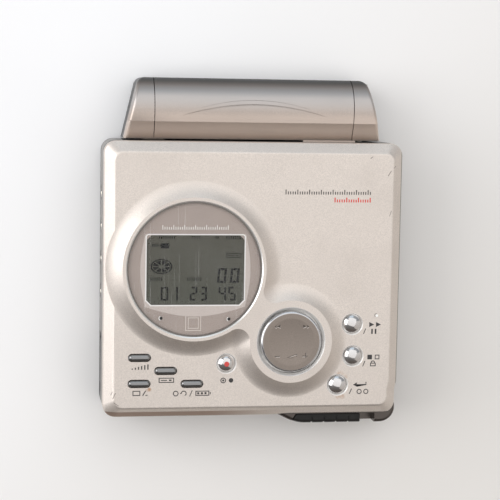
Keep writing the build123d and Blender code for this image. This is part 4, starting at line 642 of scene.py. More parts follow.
def display_ground(name, rgb, contrast, rough, metallic=0.0, shine=0.25):
    """A printed ground under the window, with a very fine weave of grain."""
    f = Finish(name, Specular_IOR_Level=shine, Metallic=metallic)
    speckle, cloud = f.grain(0.16, 5.0)
    base = f.mix(speckle, shade(rgb, 1.0 - contrast), shade(rgb, 1.0 + contrast))
    return f.done(
        f.mix(f.times(cloud, 0.4), base, shade(rgb, 0.93)),
        f.plus(rough, f.times(speckle, 0.06)),
        speckle, 0.004, 0.3,
    )


def liquid_crystal():
    """The reflective glass of the display, darker and greener towards its lower edge."""
    rgb = colours().display
    f = Finish("liquid_crystal", Specular_IOR_Level=0.12)
    height = f.node("ShaderNodeSeparateXYZ", {0: f.place}).outputs["Y"]
    low_y, high_y = low("lcd_panel").y * MM, high("lcd_panel").y * MM
    green = (rgb[0] * 0.98, rgb[1] * 1.1, rgb[2] * 1.12)
    base = f.mix(f.remap(height, low_y, high_y), shade(green), shade(rgb))
    speckle, cloud = f.grain(0.14, 4.0)
    base = f.mix(f.times(speckle, 0.5), base, shade(rgb, 0.82))
    base = f.mix(f.times(cloud, 0.35), base, shade(rgb, 1.12))
    return f.done(base, f.plus(0.34, f.times(cloud, 0.1)), speckle, 0.003, 0.2)


def pad_finish():
    """The round pad: dark satin in the middle and bright plating over its rounded rim."""
    rgb = colours().pad
    f = Finish("pad_satin", Metallic=1.0)
    speckle, cloud = f.grain(sizes().grain / MM, 6.0)
    smudge, scratch = f.handling(1.0, 0.53)
    rim = f.remap(f.around(PAD.x, PAD.y), (PAD_RADIUS - 0.62) * MM, (PAD_RADIUS - 0.48) * MM)
    base = f.mix(speckle, shade(rgb, 0.88), shade(rgb, 1.14))
    base = f.mix(f.times(cloud, 0.4), base, shade(rgb, 0.93))
    base = f.mix(f.times(scratch, 0.3), base, shade(rgb, 1.5))
    f.drive("Base Color", f.mix(rim, base, shade((0.55, 0.55, 0.56))))
    satin = f.plus(0.36, f.plus(f.times(speckle, 0.08), f.times(smudge, 0.08)))
    f.drive("Roughness", f.remap(rim, 0.0, 1.0, satin, 0.10))
    f.bump(f.times(speckle, f.math("SUBTRACT", 1.0, rim)), 0.012, 0.4)
    return f.material


# ---------------------------------------------------------------- pieces
def dress(material, *nodes):
    """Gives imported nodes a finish."""
    for node in nodes:
        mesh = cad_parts[node].data
        mesh.materials.clear()
        mesh.materials.append(material)


def add_piece(name, mesh, material, body):
    """Makes an object of a finished mesh, and lets it ride on a body."""
    mesh.name = name
    mesh.materials.clear()
    mesh.materials.append(material)
    piece = bpy.data.objects.new(name, mesh)
    bpy.context.scene.collection.objects.link(piece)
    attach(piece, body)
    return piece


def spun(name, profile, x, y, material, body):
    """A turned piece: a profile of radius and height in millimetres, spun about an upright axis."""
    bm = bmesh.new()
    verts = [bm.verts.new((radius, 0.0, height)) for radius, height in profile]
    edges = [bm.edges.new(pair) for pair in zip(verts, verts[1:])]
    if min(radius for radius, height in profile) > 0.0:
        edges.append(bm.edges.new((verts[-1], verts[0])))
    bmesh.ops.spin(
        bm,
        geom=verts + edges,
        cent=(0, 0, 0),
        axis=(0, 0, 1),
        angle=2 * pi,
        steps=SPIN_STEPS,
        use_merge=True,
    )
    bmesh.ops.remove_doubles(bm, verts=bm.verts, dist=1e-5)
    bmesh.ops.recalc_face_normals(bm, faces=bm.faces)
    bmesh.ops.translate(bm, verts=bm.verts, vec=(x, y, 0.0))
    bmesh.ops.scale(bm, verts=bm.verts, vec=(MM, MM, MM))
    mesh = bpy.data.meshes.new(name)
    bm.to_mesh(mesh)
    bm.free()
    mesh.shade_smooth()
    mesh.set_sharp_from_angle(angle=radians(SMOOTH_ANGLE))
    return add_piece(name, mesh, material, body)


def flat_mesh(name, loops, height):
    """A thin flat mesh cut from closed outlines in millimetres, with holes where one lies in another."""
    curve = bpy.data.curves.new(name, "CURVE")
    curve.dimensions = "2D"
    curve.fill_mode = "BOTH"
    curve.extrude = height / 2
    for loop in loops:
        spline = curve.splines.new("POLY")
        spline.points.add(len(loop) - 1)
        for point, (x, y) in zip(spline.points, loop):
            point.co = (x, y, 0.0, 1.0)
        spline.use_cyclic_u = True
    holder = bpy.data.objects.new(name + "_outline", curve)
    bpy.context.scene.collection.objects.link(holder)
    graph = bpy.context.evaluated_depsgraph_get()
    mesh = bpy.data.meshes.new_from_object(holder.evaluated_get(graph))
    bpy.data.objects.remove(holder)
    bpy.data.curves.remove(curve)
    bm = bmesh.new()
    bm.from_mesh(mesh)
    bmesh.ops.remove_doubles(bm, verts=bm.verts, dist=1e-4)
    bmesh.ops.recalc_face_normals(bm, faces=bm.faces)
    bmesh.ops.translate(bm, verts=bm.verts, vec=(0.0, 0.0, height / 2))
    bm.to_mesh(mesh)
    bm.free()
    return mesh


def printed(name, loops, level, material, body, height=None):
    """Printed marks on an upward face at a level in millimetres."""
    mesh = flat_mesh(name, loops, height or sizes().print_height / MM)
    mesh.transform(Matrix.Translation((0.0, 0.0, level * MM)) @ Matrix.Scale(MM, 4))
    return add_piece(name, mesh, material, body)


def printed_on_side(name, loops, origin, across, material, body, height=None):
    """Printed marks on an upright face: the outlines' X runs along a direction, and their Y runs up."""
    mesh = flat_mesh(name, loops, height or sizes().print_height / MM)
    side, up = Vector(across), Vector((0.0, 0.0, 1.0))
    turn = Matrix((side, up, side.cross(up))).transposed().to_4x4()
    mesh.transform(Matrix.Translation(Vector(origin) * MM) @ turn @ Matrix.Scale(MM, 4))
    return add_piece(name, mesh, material, body)


# ---------------------------------------------------------------- outlines, in millimetres
def box(x0, y0, x1, y1):
    """An upright rectangle between two corners."""
    return [(x0, y0), (x1, y0), (x1, y1), (x0, y1)]


def arc(x, y, radius, start, end, steps=24, squash=1.0):
    """Points on an arc, angles in degrees, flattened in Y by squash."""
    turns = [radians(start + (end - start) * index / steps) for index in range(steps + 1)]
    return [(x + radius * cos(turn), y + radius * squash * sin(turn)) for turn in turns]


def disc(x, y, radius, squash=1.0):
    """A whole circle or ellipse."""
    return arc(x, y, radius, 0.0, 360.0, DISC_STEPS, squash)[:-1]


def ring(x, y, outer, inner, squash=1.0):
    """A ring between two circles."""
    return [disc(x, y, outer, squash=squash), disc(x, y, inner, squash=squash)]


def outline(x0, y0, x1, y1, stroke):
    """A hollow rectangle with an even stroke."""
    return [box(x0, y0, x1, y1), box(x0 + stroke, y0 + stroke, x1 - stroke, y1 - stroke)]


def moved(loops, x, y):
    """Outlines drawn about the origin, moved to a place."""
    return [[(px + x, py + y) for px, py in loop] for loop in loops]


def slanted(x, y, width, height, lean):
    """A leaning bar that stands on a place."""
    return [(x, y), (x + width, y), (x + width + lean, y + height), (x + lean, y + height)]


def cut_box(x0, y0, x1, y1, cut_low, cut_high):
    """A rectangle with cut corners, larger at the bottom."""
    return [
        (x0 + cut_low, y0),
        (x1 - cut_low, y0),
        (x1, y0 + cut_low),
        (x1, y1 - cut_high),
        (x1 - cut_high, y1),
        (x0 + cut_high, y1),
        (x0, y1 - cut_high),
        (x0, y0 + cut_low),
    ]


def ticks(x0, x1, y, count, short, tall, width, every=5):
    """A row of scale ticks that stand on a line, each fifth one taller."""
    pitch = (x1 - x0 - width) / (count - 1)
    return [
        box(x0 + index * pitch, y, x0 + index * pitch + width, y + (short if index % every else tall))
        for index in range(count)
    ]


SEGMENTS = {"0": "abcdef", "1": "bc", "2": "abged", "3": "abgcd", "4": "fgbc", "5": "afgcd"}


def digit(character, x, y, width, height, stroke, lean=0.0):
    """A seven-segment digit that stands on a place and leans to the right."""
    middle, gap = height / 2, stroke * SEGMENT_GAP
    bars = {
        "a": (stroke, height - stroke, width - stroke, height),
        "g": (stroke, middle - stroke / 2, width - stroke, middle + stroke / 2),
        "d": (stroke, 0.0, width - stroke, stroke),
        "f": (0.0, middle + gap, stroke, height - gap),
        "b": (width - stroke, middle + gap, width, height - gap),
        "e": (0.0, gap, stroke, middle - gap),
        "c": (width - stroke, gap, width, middle - gap),
    }
    loops = []
    for name in SEGMENTS[character]:
        x0, y0, x1, y1 = bars[name]
        if name in "agd":
            x0, x1 = x0 + gap, x1 - gap
        loops.append([(x + px + py * lean, y + py) for px, py in box(x0, y0, x1, y1)])
    return loops


def number(text, x, y, width, height, stroke, pitch, lean=0.0):
    """A row of seven-segment digits, with a blank for each space."""
    loops = []
    for index, character in enumerate(text):
        if character != " ":
            loops += digit(character, x + index * pitch, y, width, height, stroke, lean)
    return loops


# ---------------------------------------------------------------- operators
class RECORDER_OT_shells(bpy.types.Operator):
    """Finishes the lid, the base and the bottom cover"""

    bl_idname = "recorder.shells"
    bl_label = "Shells"

    def execute(self, context):
        dress(lid_paint(), "lid_shell")
        dress(base_paint(), "base_frame", "bottom_cover")
        return {"FINISHED"}


class RECORDER_OT_keys(bpy.types.Operator):
    """Finishes the round and long keys, the round pad and the lid lock's knob"""

    bl_idname = "recorder.keys"
    bl_label = "Keys"

    def execute(self, context):
        c = colours()
        dress(chrome("key_chrome", (0.66, 0.64, 0.63)), *ROUND_KEYS)
        long_chrome = chrome("long_key_chrome", (0.26, 0.26, 0.26), 0.12, 0.9)
        dress(long_chrome, "bass_key", "edit_key", "display_key", "mode_key")
        dress(moulded_plastic("record_red", tuple(c.red), 0.3, 0.2, 0.6, dusty=0.0), "record_dot")
        dress(pad_finish(), "rocker_pad")
        knob = moulded_plastic("lock_knob_dark", tuple(c.knob), 0.38, 0.22, seed=0.4, dusty=0.04, shine=0.3)
        dress(knob, "slider_knob")
        return {"FINISHED"}


class RECORDER_OT_display(bpy.types.Operator):
    """Builds the window, the ground round the display, and the display's marks"""

    bl_idname = "recorder.display"
    bl_label = "Display"

    def execute(self, context):
        self.window()
        self.ground()
        self.marks()
        return {"FINISHED"}

    def window(self):
        """The clear cover, a hair above the ground so that print can lie between them."""
        floor, roof = MASK_TOP + 0.06, high("display_window").z
        profile = [
            (0.0, floor),
            (WINDOW_RADIUS, floor),
            (WINDOW_RADIUS, roof - WINDOW_RIM),
            (WINDOW_RADIUS - WINDOW_RIM, roof),
            (0.0, roof),
        ]
        cover = spun("window_cover", profile, WINDOW.x, WINDOW.y, clear_window(), "lid")
        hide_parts("display_window")
        dress(simple_paint("window_trim_grey", (0.17, 0.157, 0.145), rough=0.3, grain=0.2), "display_trim")
        # Painted shade and highlight: black discs stand for the shade inside the window's two small holes,
        # and pale crescents on their left rims are painted highlights.
        holes = [(WINDOW.x + x, WINDOW.y + y) for x, y in HOLE_PLACES]
        dark = printed_ink("hole_painted_shade", (0.012, 0.011, 0.011))
        glint = printed_ink("hole_glint", (0.78, 0.76, 0.74), 0.3)
        loops = [disc(x, y, 0.42) for x, y in holes]
        printed("window_holes", loops, roof + ROOF_LIFT, dark, "lid")
        crescents = [arc(x, y, 0.66, 110, 250, 12) + arc(x, y, 0.46, 250, 110, 12) for x, y in holes]
        printed("window_hole_glints", crescents, roof + ROOF_LIFT, glint, "lid")

    def ground(self):
        """The coloured ground, the lighter field round the display and its white border."""
        dress(display_ground("mask_taupe", tuple(colours().mask), 0.05, 0.5, 0.2), "display_mask")
        level = MASK_TOP + PRINT_LIFT
        x0, x1 = VIEW.x - VIEW_HALF_WIDTH, VIEW.x + VIEW_HALF_WIDTH
        y0, y1 = VIEW.y - VIEW_HALF_DEPTH, VIEW.y + VIEW_HALF_DEPTH
        opening = cut_box(x0 - 0.02, y0 - 0.02, x1 + 0.02, y1 + 0.02, 1.3, 0.35)
        border = cut_box(x0 - 0.34, y0 - 0.34, x1 + 0.34, y1 + 0.34, 1.44, 0.6)
        white = printed_ink("border_white", (0.74, 0.71, 0.68))
        printed("display_border", [border, opening], level, white, "lid", 0.03)
        bulge, drop, steps = 1.35, 2.3, 12
        waves = [sin(pi * step / steps) for step in range(steps + 1)]
        fall, run = (y0 - y1 - 0.9) / steps, (x1 - x0 - 1.2) / steps
        left = [(x0 - 0.36 - bulge * wave, y1 + 0.34 + fall * t) for t, wave in enumerate(waves)]
        floor = [(x0 + 0.6 + run * t, y0 - 0.9 - drop * waves[t]) for t in range(1, steps)]
        right = [(2 * VIEW.x - x, y) for x, y in reversed(left)]
        field = display_ground("field_light_taupe", (0.56, 0.49, 0.45), 0.04, 0.45, 0.2)
        inner = cut_box(x0 - 0.35, y0 - 0.35, x1 + 0.35, y1 + 0.33, 1.45, 0.6)
        printed("display_field", [left + floor + right, inner], MASK_TOP + FIELD_LIFT, field, "lid", 0.02)
        pale = printed_ink("window_print_pale", (0.70, 0.67, 0.64))
        scale = ticks(WINDOW.x - 8.85, WINDOW.x + 9.05, 14.1, 31, 0.75, 1.25, 0.2)
        printed("window_scale", scale, level, pale, "lid")
        square = outline(-19.0, -13.4, -14.75, -9.2, 0.16) + outline(-18.3, -12.8, -15.4, -9.8, 0.13)
        printed("window_square", square, level, printed_ink("window_print_dim", (0.60, 0.55, 0.50)), "lid")

    def marks(self):
        """Plain numbers and signs on the display, drawn from its lower left corner."""
        dress(liquid_crystal(), "lcd_panel")
        dress(moulded_plastic("display_frame_white", (0.42, 0.41, 0.39), 0.5), "lcd_frame")
        dark = display_ground("segment_dark", (0.003, 0.003, 0.003), 0.06, 0.4, shine=0.02)
        faint = display_ground("segment_faint", (0.010, 0.010, 0.008), 0.06, 0.4, shine=0.02)
        corner, level = (VIEW.x - VIEW_HALF_WIDTH, VIEW.y - VIEW_HALF_DEPTH), LCD_TOP + SIGN_LIFT
        digits = number("00", 19.1, 5.9, 2.4, 4.1, 0.60, 3.5, 0.09)
        digits += number("01 23 45", 3.9, 1.1, 2.05, 3.8, 0.50, 2.62)
        digits += [box(3.8, 15.3, 6.1, 16.7), box(3.45, 15.7, 3.7, 16.3)]
        printed("display_digits", moved(digits, *corner), level, dark, "lid")
        x, y, flat = 4.0, 10.4, 0.7
        wheel = ring(x, y, 2.95, 2.55, flat)
        for turn in range(0, 360, 45):
            outer = arc(x, y, 2.3, turn + 5, turn + 40, 5, flat)
            wheel.append(outer + arc(x, y, 0.8, turn + 36, turn + 9, 3, flat))
        printed("display_wheel", moved(wheel, *corner), level, dark, "lid")
        small = outline(21.6, 12.75, 25.6, 14.1, 0.2)
        small += [box(22.1 + x, 13.25, 22.7 + x, 13.6) for x in (0.0, 1.05, 2.1)]
        for x0, x1, y, count, tall in (
            (1.4, 3.1, 15.7, 4, 0.85),
            (3.3, 7.6, 17.9, 8, 0.85),
            (12.1, 14.4, 17.9, 4, 0.85),
            (18.6, 19.4, 17.9, 2, 0.85),
            (21.5, 26.0, 17.8, 8, 0.95),
            (1.0, 4.2, 6.5, 6, 0.95),
            (11.0, 14.9, 6.5, 7, 0.95),
        ):
            small += ticks(x0, x1, y, count, tall, tall, 0.3)
        printed("display_signs", moved(small, *corner), level, faint, "lid")


class RECORDER_OT_legends(bpy.types.Operator):
    """Prints the plain signs beside the keys and the scales on the lid"""

    bl_idname = "recorder.legends"
    bl_label = "Legends"

    def execute(self, context):
        ink = printed_ink("legend_ink", tuple(colours().ink))
        w = sizes().line_width / MM
        level = LID_TOP + PRINT_LIFT
        for name, loops in self.signs(w).items():
            printed(name, loops, level, ink, "lid")
        printed("title_scale", ticks(8.0, 31.7, 23.7, 37, 0.8, 1.3, 0.26), level, ink, "lid")
        red = printed_ink("legend_red", tuple(colours().red))
        printed("title_scale_red", ticks(21.6, 31.7, 21.6, 16, 0.8, 1.3, 0.3), level, red, "lid")
        # Painted shade and highlight: a small dimple in the lid, drawn as a dark crescent on its upper left
        # and a white disc below right as its highlight.
        x, y = 34.18, -9.62
        dimple = arc(x, y, 0.62, 80, 230, 14) + arc(x, y, 0.38, 230, 80, 14)
        printed("dimple_painted_shade", [dimple], level, printed_ink("dimple_shade", (0.30, 0.27, 0.24), 0.3), "lid")
        white = printed_ink("dimple_highlight_white", (0.92, 0.91, 0.88))
        printed("dimple_painted_highlight", [disc(x + 0.1, y - 0.1, 0.36)], level, white, "lid")
        self.pad_signs(high("rocker_pad").z)
        return {"FINISHED"}

    def signs(self, w):
        """The outlines of every sign, by piece name, with a stroke."""

        def slash(x):
            """The stroke between the two signs of one key."""
            return slanted(x, -2.6, w, 1.5, 0.6)

        bass = [box(0.85 * i - 2.4, 0.0, 0.85 * i - 2.4 + w * 1.4, 0.35 + 0.22 * i) for i in range(6)]
        edit = outline(-2.0, 0.0, 0.1, 1.4, w) + [slanted(0.6, 0.0, w * 1.3, 1.4, 0.8), box(1.5, 0.0, 2.1, w)]
        display = outline(-2.1, 0.0, 2.1, 1.4, w) + [box(-1.5, 0.55, 0.2, 0.55 + w), box(0.7, 0.5, 1.4, 0.9)]
        mode = ring(-4.6, 0.7, 0.78, 0.52) + ring(-2.4, 0.7, 0.78, 0.52) + [box(-3.4, 0.58, w - 3.2, 0.82)]
        mode += [slanted(-0.9, -0.15, w, 1.7, 0.7)] + outline(0.8, 0.0, 4.6, 1.4, w)
        mode += [box(4.75, 0.4, 5.0, 1.0)] + [box(1.3 + i, 0.42, 1.85 + i, 0.98) for i in range(3)]
        record = ring(-1.0, 0.0, 0.78, 0.52) + [disc(-1.0, 0.0, 0.3), disc(1.15, 0.0, 0.62)]
        play = [[(x, -0.7), (x + 1.4, 0.0), (x, 0.7)] for x in (-1.3, 0.6)]
        play += [slash(-3.0)] + [box(x, -2.6, x + 0.45, -1.2) for x in (-0.7, 0.3)]
        stop = [box(-1.7, -0.65, -0.4, 0.65)] + outline(0.4, -0.65, 1.7, 0.65, w)
        stop += [slash(-3.1)] + outline(-0.9, -2.6, 0.7, -1.6, w)
        stop += [arc(-0.1, -1.6, 0.62, 0, 180, 10) + arc(-0.1, -1.6, 0.38, 180, 0, 10)]
        enter = [box(-1.2, -0.12, 1.6, 0.12), [(-2.2, 0.0), (-1.1, -0.6), (-1.1, 0.6)]]
        enter += [box(1.6 - w, 0.2, 1.6, 0.75), slash(-3.3)]
        enter += ring(-0.4, -1.95, 0.72, 0.48) + ring(1.5, -1.95, 0.72, 0.48)
        return {
            "sign_bass": moved(bass, -30.95, -24.15),
            "sign_edit": moved(edit, -31.04, -31.35),
            "sign_display": moved(display, -23.87, -27.85),
            "sign_mode": moved(mode, -16.68, -31.55),
            "sign_record": moved(record, -7.29, -27.38),
            "sign_play": moved(play, 33.5, -12.2),
            "sign_stop": moved(stop, 33.6, -21.3),
            "sign_enter": moved(enter, 30.2, -29.0),
        }

    def pad_signs(self, crown):
        """Skip arrows, minus, plus and a wedge on the pad, drawn as engraved signs in painted light: a dark
        copy for the shade in each groove, over a pale copy below it as a painted highlight on its lower edge.
        """
        upper, lower = -12.15, -20.4
        signs = {}
        for name, x, side in (("back", 5.85, -1), ("next", 14.15, 1)):
            loops = [
                [(side * (s - 0.5), -0.42), (side * (s + 0.5), 0.0), (side * (s - 0.5), 0.42)]
                for s in (-0.5, 0.6)
            ]
            loops.append(box(side * 1.25 - 0.09, -0.42, side * 1.25 + 0.09, 0.42))
            signs[name] = (x, upper, loops)
        reach, half = 0.95, 0.11
        arm, plus = [(half, half), (half, reach), (-half, reach)], []
        for _ in range(4):
            plus += arm
            arm = [(-y, x) for x, y in arm]
        wedge = [[(-1.7, -0.55), (1.7, -0.55), (1.7, 0.65)], [(-0.95, -0.4), (1.55, 0.45), (1.55, -0.4)]]
        signs["minus"] = (5.9, lower, [box(-reach, -half, reach, half)])
        signs["plus"] = (14.05, lower, [plus])
        signs["level"] = (9.95, lower, wedge)
        dark = printed_ink("pad_painted_groove_shade", (0.085, 0.07, 0.06), 0.4)
        light = printed_ink("pad_painted_highlight", (0.58, 0.53, 0.49), 0.5)
        for name, (x, y, loops) in signs.items():
            rise = ((x - PAD.x) ** 2 + (y - PAD.y) ** 2) / (2 * PAD_DISH_RADIUS)
            level = crown - PAD_DISH_DEPTH + rise
            # Painted highlight: a pale copy a little lower and to the right, under the dark copy that stands
            # for the shade in the groove.
            under = moved(loops, x + 0.05, y - 0.16)
            printed("pad_highlight_" + name, under, level + SIGN_LIFT, light, "pad", 0.02)
            printed("pad_sign_" + name, moved(loops, x, y), level + 0.02, dark, "pad", 0.02)


class RECORDER_OT_battery_case(bpy.types.Operator):
    """Finishes the clip-on battery case, its cover and its cell"""

    bl_idname = "recorder.battery_case"
    bl_label = "Battery case"

    def execute(self, context):
        c = colours()
        dress(case_paint(), "case_body", "case_cover")
        dress(simple_paint("case_bridge_paint", tuple(c.case), rough=0.4, seed=2.9), "case_bridge")
        dress(brushed_metal("case_screw_steel", (0.50, 0.48, 0.46)), "case_screw", "cover_pin")
        middle = centre("aa_cell")
        green = cell_sleeve("cell_sleeve_green", (0.72, 0.70, 0.66), (0.05, 0.16, 0.13), middle.x - 13.0)
        dress(green, "aa_cell")
        dress(brushed_metal("contact_nickel", (0.70, 0.66, 0.58), 0.22), "cell_contacts")
        return {"FINISHED"}


class RECORDER_OT_inside(bpy.types.Operator):
    """Finishes the drive, the circuit boards, the disc holder and the hinge"""

    bl_idname = "recorder.inside"
    bl_label = "Inside"

    def execute(self, context):
        steel = brushed_metal("bright_steel", (0.62, 0.61, 0.59), 0.26)
        dress(steel, "hinge_pins", "guide_rods", "arm_pin", "door_pin")
        dress(steel, "base_screws", "chassis_screws", "lid_screws")
        sheet = brushed_metal("sheet_steel", (0.55, 0.54, 0.52), 0.32, (3200.0, 60.0, 3200.0), 0.8)
        dress(sheet, "disc_holder", "deck_chassis")
        spring = brushed_metal("spring_steel", (0.50, 0.47, 0.42), 0.24, seed=1.1)
        dress(spring, "head_arm", "latch_plate", "key_domes")
        dress(brushed_metal("screw_steel", (0.58, 0.56, 0.54), 0.2, (5200.0, 40.0, 40.0), 1.7), "lead_screw")
        can = brushed_metal("motor_can", (0.46, 0.45, 0.43), 0.3, (40.0, 40.0, 2600.0), 0.5)
        dress(can, "spindle_motor", "sled_motor")
        brass = brushed_metal("pinion_brass", (0.58, 0.43, 0.20), 0.25, seed=2.3)
        dress(brass, "motor_pinion", "pack_contacts")
        dress(cast_metal("cast_zinc", (0.44, 0.43, 0.42)), "hinge_brackets", "pickup_sled")
        dress(moulded_plastic("nylon_white", (0.58, 0.56, 0.51), 0.4), "screw_gear", "sled_nut", "turntable")
        black = moulded_plastic("inner_black", (0.028, 0.028, 0.030), 0.42, seed=0.6)
        dress(black, "lid_inner_cover", "rocker_carrier", "battery_door")
        dress(moulded_plastic("jack_black", (0.020, 0.020, 0.021), 0.35, coat=0.2), "audio_jacks", "dc_jack")
        dress(moulded_plastic("head_ferrite", (0.05, 0.045, 0.05), 0.3, 0.15), "head_tip")
        dress(rubber("damper_rubber", (0.03, 0.035, 0.045)), "chassis_dampers")
        dress(circuit_board("board_green", (0.018, 0.085, 0.045)), "main_board")
        dress(circuit_board("board_amber", (0.16, 0.085, 0.02)), "key_board")
        dress(chip_package("chip_epoxy", (0.022, 0.022, 0.024)), "board_chips")
        dress(chrome("lens_glass", (0.16, 0.14, 0.34), 0.05), "pickup_lens")
        split = low("battery_pack").x + 4.0
        grey = cell_sleeve("pack_sleeve_grey", (0.70, 0.69, 0.67), (0.10, 0.12, 0.17), split)
        dress(grey, "battery_pack")
        return {"FINISHED"}


class RECORDER_OT_side_marks(bpy.types.Operator):
    """Adds the rims and signs of the sockets on the left side, and the marks on the bottom"""

    bl_idname = "recorder.side_marks"
    bl_label = "Side marks"

    def execute(self, context):
        self.left_side()
        self.bottom()
        return {"FINISHED"}

    def left_side(self):
        """Bright liners in the socket bores, and plain signs above them."""
        liner = chrome("socket_plating", (0.70, 0.66, 0.58), 0.16, 0.2)
        ink = printed_ink("side_ink", (0.62, 0.60, 0.57))
        sockets, supply = low("audio_jacks"), centre("dc_jack")
        level, across = centre("audio_jacks").z, (0.0, -1.0, 0.0)
        places = [sockets.y + JACK_INSET + index * JACK_PITCH for index in range(3)]
        for index, y in enumerate(places + [supply.y]):
            lining, place = ring(0.0, 0.0, 1.79, 1.5), (BODY_LEFT + 0.45, y, level)
            printed_on_side(f"socket_liner_{index}", lining, place, across, liner, "base", 0.4)
        ears = arc(0.0, 0.0, 0.8, 0, 180, 16) + arc(0.0, 0.0, 0.6, 180, 0, 16)
        phones = [ears, box(-0.95, -0.75, -0.5, 0.1), box(0.5, -0.75, 0.95, 0.1)]
        line_in = [box(-1.0, -0.1, 0.1, 0.1), [(0.0, -0.4), (0.6, 0.0), (0.0, 0.4)]]
        line_in += ring(0.1, 0.0, 1.05, 0.9)
        voice = [disc(0.0, 0.35, 0.42), box(-0.09, -0.75, 0.09, -0.1), box(-0.45, -0.9, 0.45, -0.75)]
        polarity = ring(0.0, 0.0, 0.62, 0.47) + [disc(0.0, 0.0, 0.2), box(0.85, -0.08, 1.5, 0.08)]
        polarity += [box(-1.5, -0.08, -0.85, 0.08), box(-1.25, -0.33, -1.1, 0.33)]
        names = ("phones", "line_in", "voice", "polarity")
        signs = (phones, line_in, voice, polarity)
        for name, loops, y in zip(names, signs, places[::-1] + [supply.y]):
            place = (BODY_LEFT, y, level + SIDE_SIGN_RISE)
            printed_on_side("side_sign_" + name, loops, place, across, ink, "base", 0.02)

    def bottom(self):
        """A plain frame round a row of ticks, printed on the bottom."""
        ink = printed_ink("bottom_ink", (0.55, 0.53, 0.50))
        loops = outline(-14.0, -9.0, 14.0, 9.0, 0.3)
        loops += ticks(-11.0, 11.0, -5.5, 45, 3.0, 3.8, 0.22, 4)
        mesh = flat_mesh("bottom_plate", loops, 0.015)
        mesh.transform(Matrix.Rotation(pi, 4, "Y") @ Matrix.Scale(MM, 4))
        add_piece("bottom_plate", mesh, ink, "base")


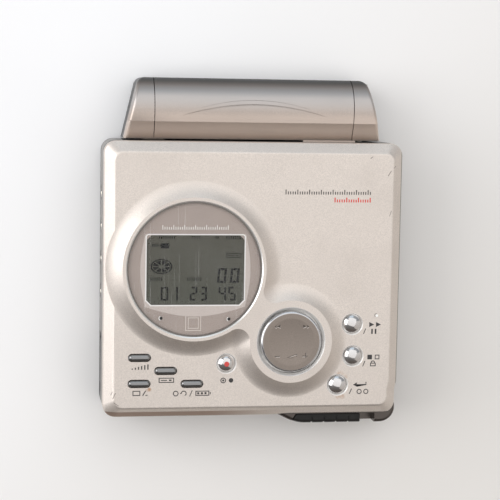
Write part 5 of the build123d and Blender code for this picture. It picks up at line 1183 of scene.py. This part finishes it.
class RECORDER_OT_studio(bpy.types.Operator):
    """Sets up the floor, the soft lights and the camera"""

    bl_idname = "recorder.studio"
    bl_label = "Studio"

    def execute(self, context):
        self.floor()
        for lamp in LAMPS:
            self.lamp(*lamp)
        self.world()
        self.camera()
        return {"FINISHED"}

    def floor(self):
        """The pale floor, with painted light: cooler and lighter towards the rear left, warmer and darker
        towards the front right.
        """
        bm = bmesh.new()
        bmesh.ops.create_grid(bm, x_segments=1, y_segments=1, size=FLOOR_SIZE)
        bmesh.ops.translate(bm, verts=bm.verts, vec=(0.0, 0.0, -FLOOR_DROP * MM))
        mesh = bpy.data.meshes.new("studio_floor")
        bm.to_mesh(mesh)
        bm.free()
        floor = bpy.data.objects.new("studio_floor", mesh)
        bpy.context.scene.collection.objects.link(floor)
        rgb = tuple(colours().backdrop)
        f = Finish("studio_floor", Roughness=0.8, Specular_IOR_Level=0.2)
        _, cloud = f.grain(1.2, 120.0)
        # Painted light: lighter and cooler towards the rear left, darker and warmer towards the front right,
        # as the light falls off across the floor.
        across = f.vector("DOT_PRODUCT", f.place, (1.0, -1.0, 0.0), "Value")
        painted_cool_light = (rgb[0] * 1.10, rgb[1] * 1.11, rgb[2] * 1.13)
        warm = (rgb[0] * 0.90, rgb[1] * 0.87, rgb[2] * 0.83)
        base = f.mix(f.remap(across, -0.11, 0.11), shade(painted_cool_light), shade(warm))
        f.drive("Base Color", f.mix(f.times(cloud, 0.3), base, shade(rgb, 0.97)))
        mesh.materials.append(f.material)

    def lamp(self, name, place, size, power, rgb):
        """A square soft box that faces the recorder."""
        light = bpy.data.lights.new(name, "AREA")
        light.size = size
        light.energy = power
        light.color = rgb
        lamp = bpy.data.objects.new(name, light)
        lamp.location = place
        lamp.rotation_euler = (-Vector(place)).to_track_quat("-Z", "Y").to_euler()
        bpy.context.scene.collection.objects.link(lamp)

    def world(self):
        """Dim light from the rest of the room, darkest in front and cooler to the rear."""
        world = bpy.data.worlds.new("studio_world")
        world.use_nodes = True
        room = Tree(world.node_tree)
        way = room.node("ShaderNodeTexCoord").outputs["Generated"]
        forward = room.node("ShaderNodeSeparateXYZ", {0: way}).outputs["Y"]
        tone = room.mix(room.remap(forward, -0.9, 0.9), ROOM_FRONT, ROOM_REAR)
        room.feed(world.node_tree.nodes["Background"].inputs["Color"], tone)
        bpy.context.scene.world = world

    def camera(self):
        """The camera above the recorder, a little to its left and rear."""
        lens = bpy.data.cameras.new("studio_camera")
        lens.lens = CAMERA_LENS
        lens.sensor_width = CAMERA_SENSOR
        lens.clip_start = 0.01
        camera = bpy.data.objects.new("studio_camera", lens)
        camera.location = CAMERA_PLACE * MM
        camera.rotation_euler = CAMERA_TURN
        bpy.context.scene.collection.objects.link(camera)
        scene = bpy.context.scene
        scene.camera = camera
        scene.view_settings.view_transform = "Standard"


class RECORDER_PT_panel(bpy.types.Panel):
    """The recorder's tools in the sidebar"""

    bl_idname = "RECORDER_PT_panel"
    bl_label = "Recorder"
    bl_space_type = "VIEW_3D"
    bl_region_type = "UI"
    bl_category = "Recorder"

    def draw(self, context):
        for values in (context.scene.recorder_sizes, context.scene.recorder_colours):
            for name in values.__annotations__:
                self.layout.prop(values, name)
        for operator in OPERATORS:
            self.layout.operator(operator.bl_idname)


OPERATORS = (
    RECORDER_OT_shells,
    RECORDER_OT_keys,
    RECORDER_OT_display,
    RECORDER_OT_legends,
    RECORDER_OT_battery_case,
    RECORDER_OT_inside,
    RECORDER_OT_side_marks,
    RECORDER_OT_studio,
)
CLASSES = (RecorderSizes, RecorderColours) + OPERATORS + (RECORDER_PT_panel,)


def register():
    """Registers the classes and the two groups of properties."""
    for cls in CLASSES:
        bpy.utils.register_class(cls)
    bpy.types.Scene.recorder_sizes = PointerProperty(type=RecorderSizes)
    bpy.types.Scene.recorder_colours = PointerProperty(type=RecorderColours)


def unregister():
    """Takes the properties and the classes away again."""
    del bpy.types.Scene.recorder_colours
    del bpy.types.Scene.recorder_sizes
    for cls in reversed(CLASSES):
        bpy.utils.unregister_class(cls)


def main():
    """Builds every piece."""
    register()
    for operator in OPERATORS:
        group, name = operator.bl_idname.split(".")
        getattr(getattr(bpy.ops, group), name)()


if __name__ == "__main__":
    main()
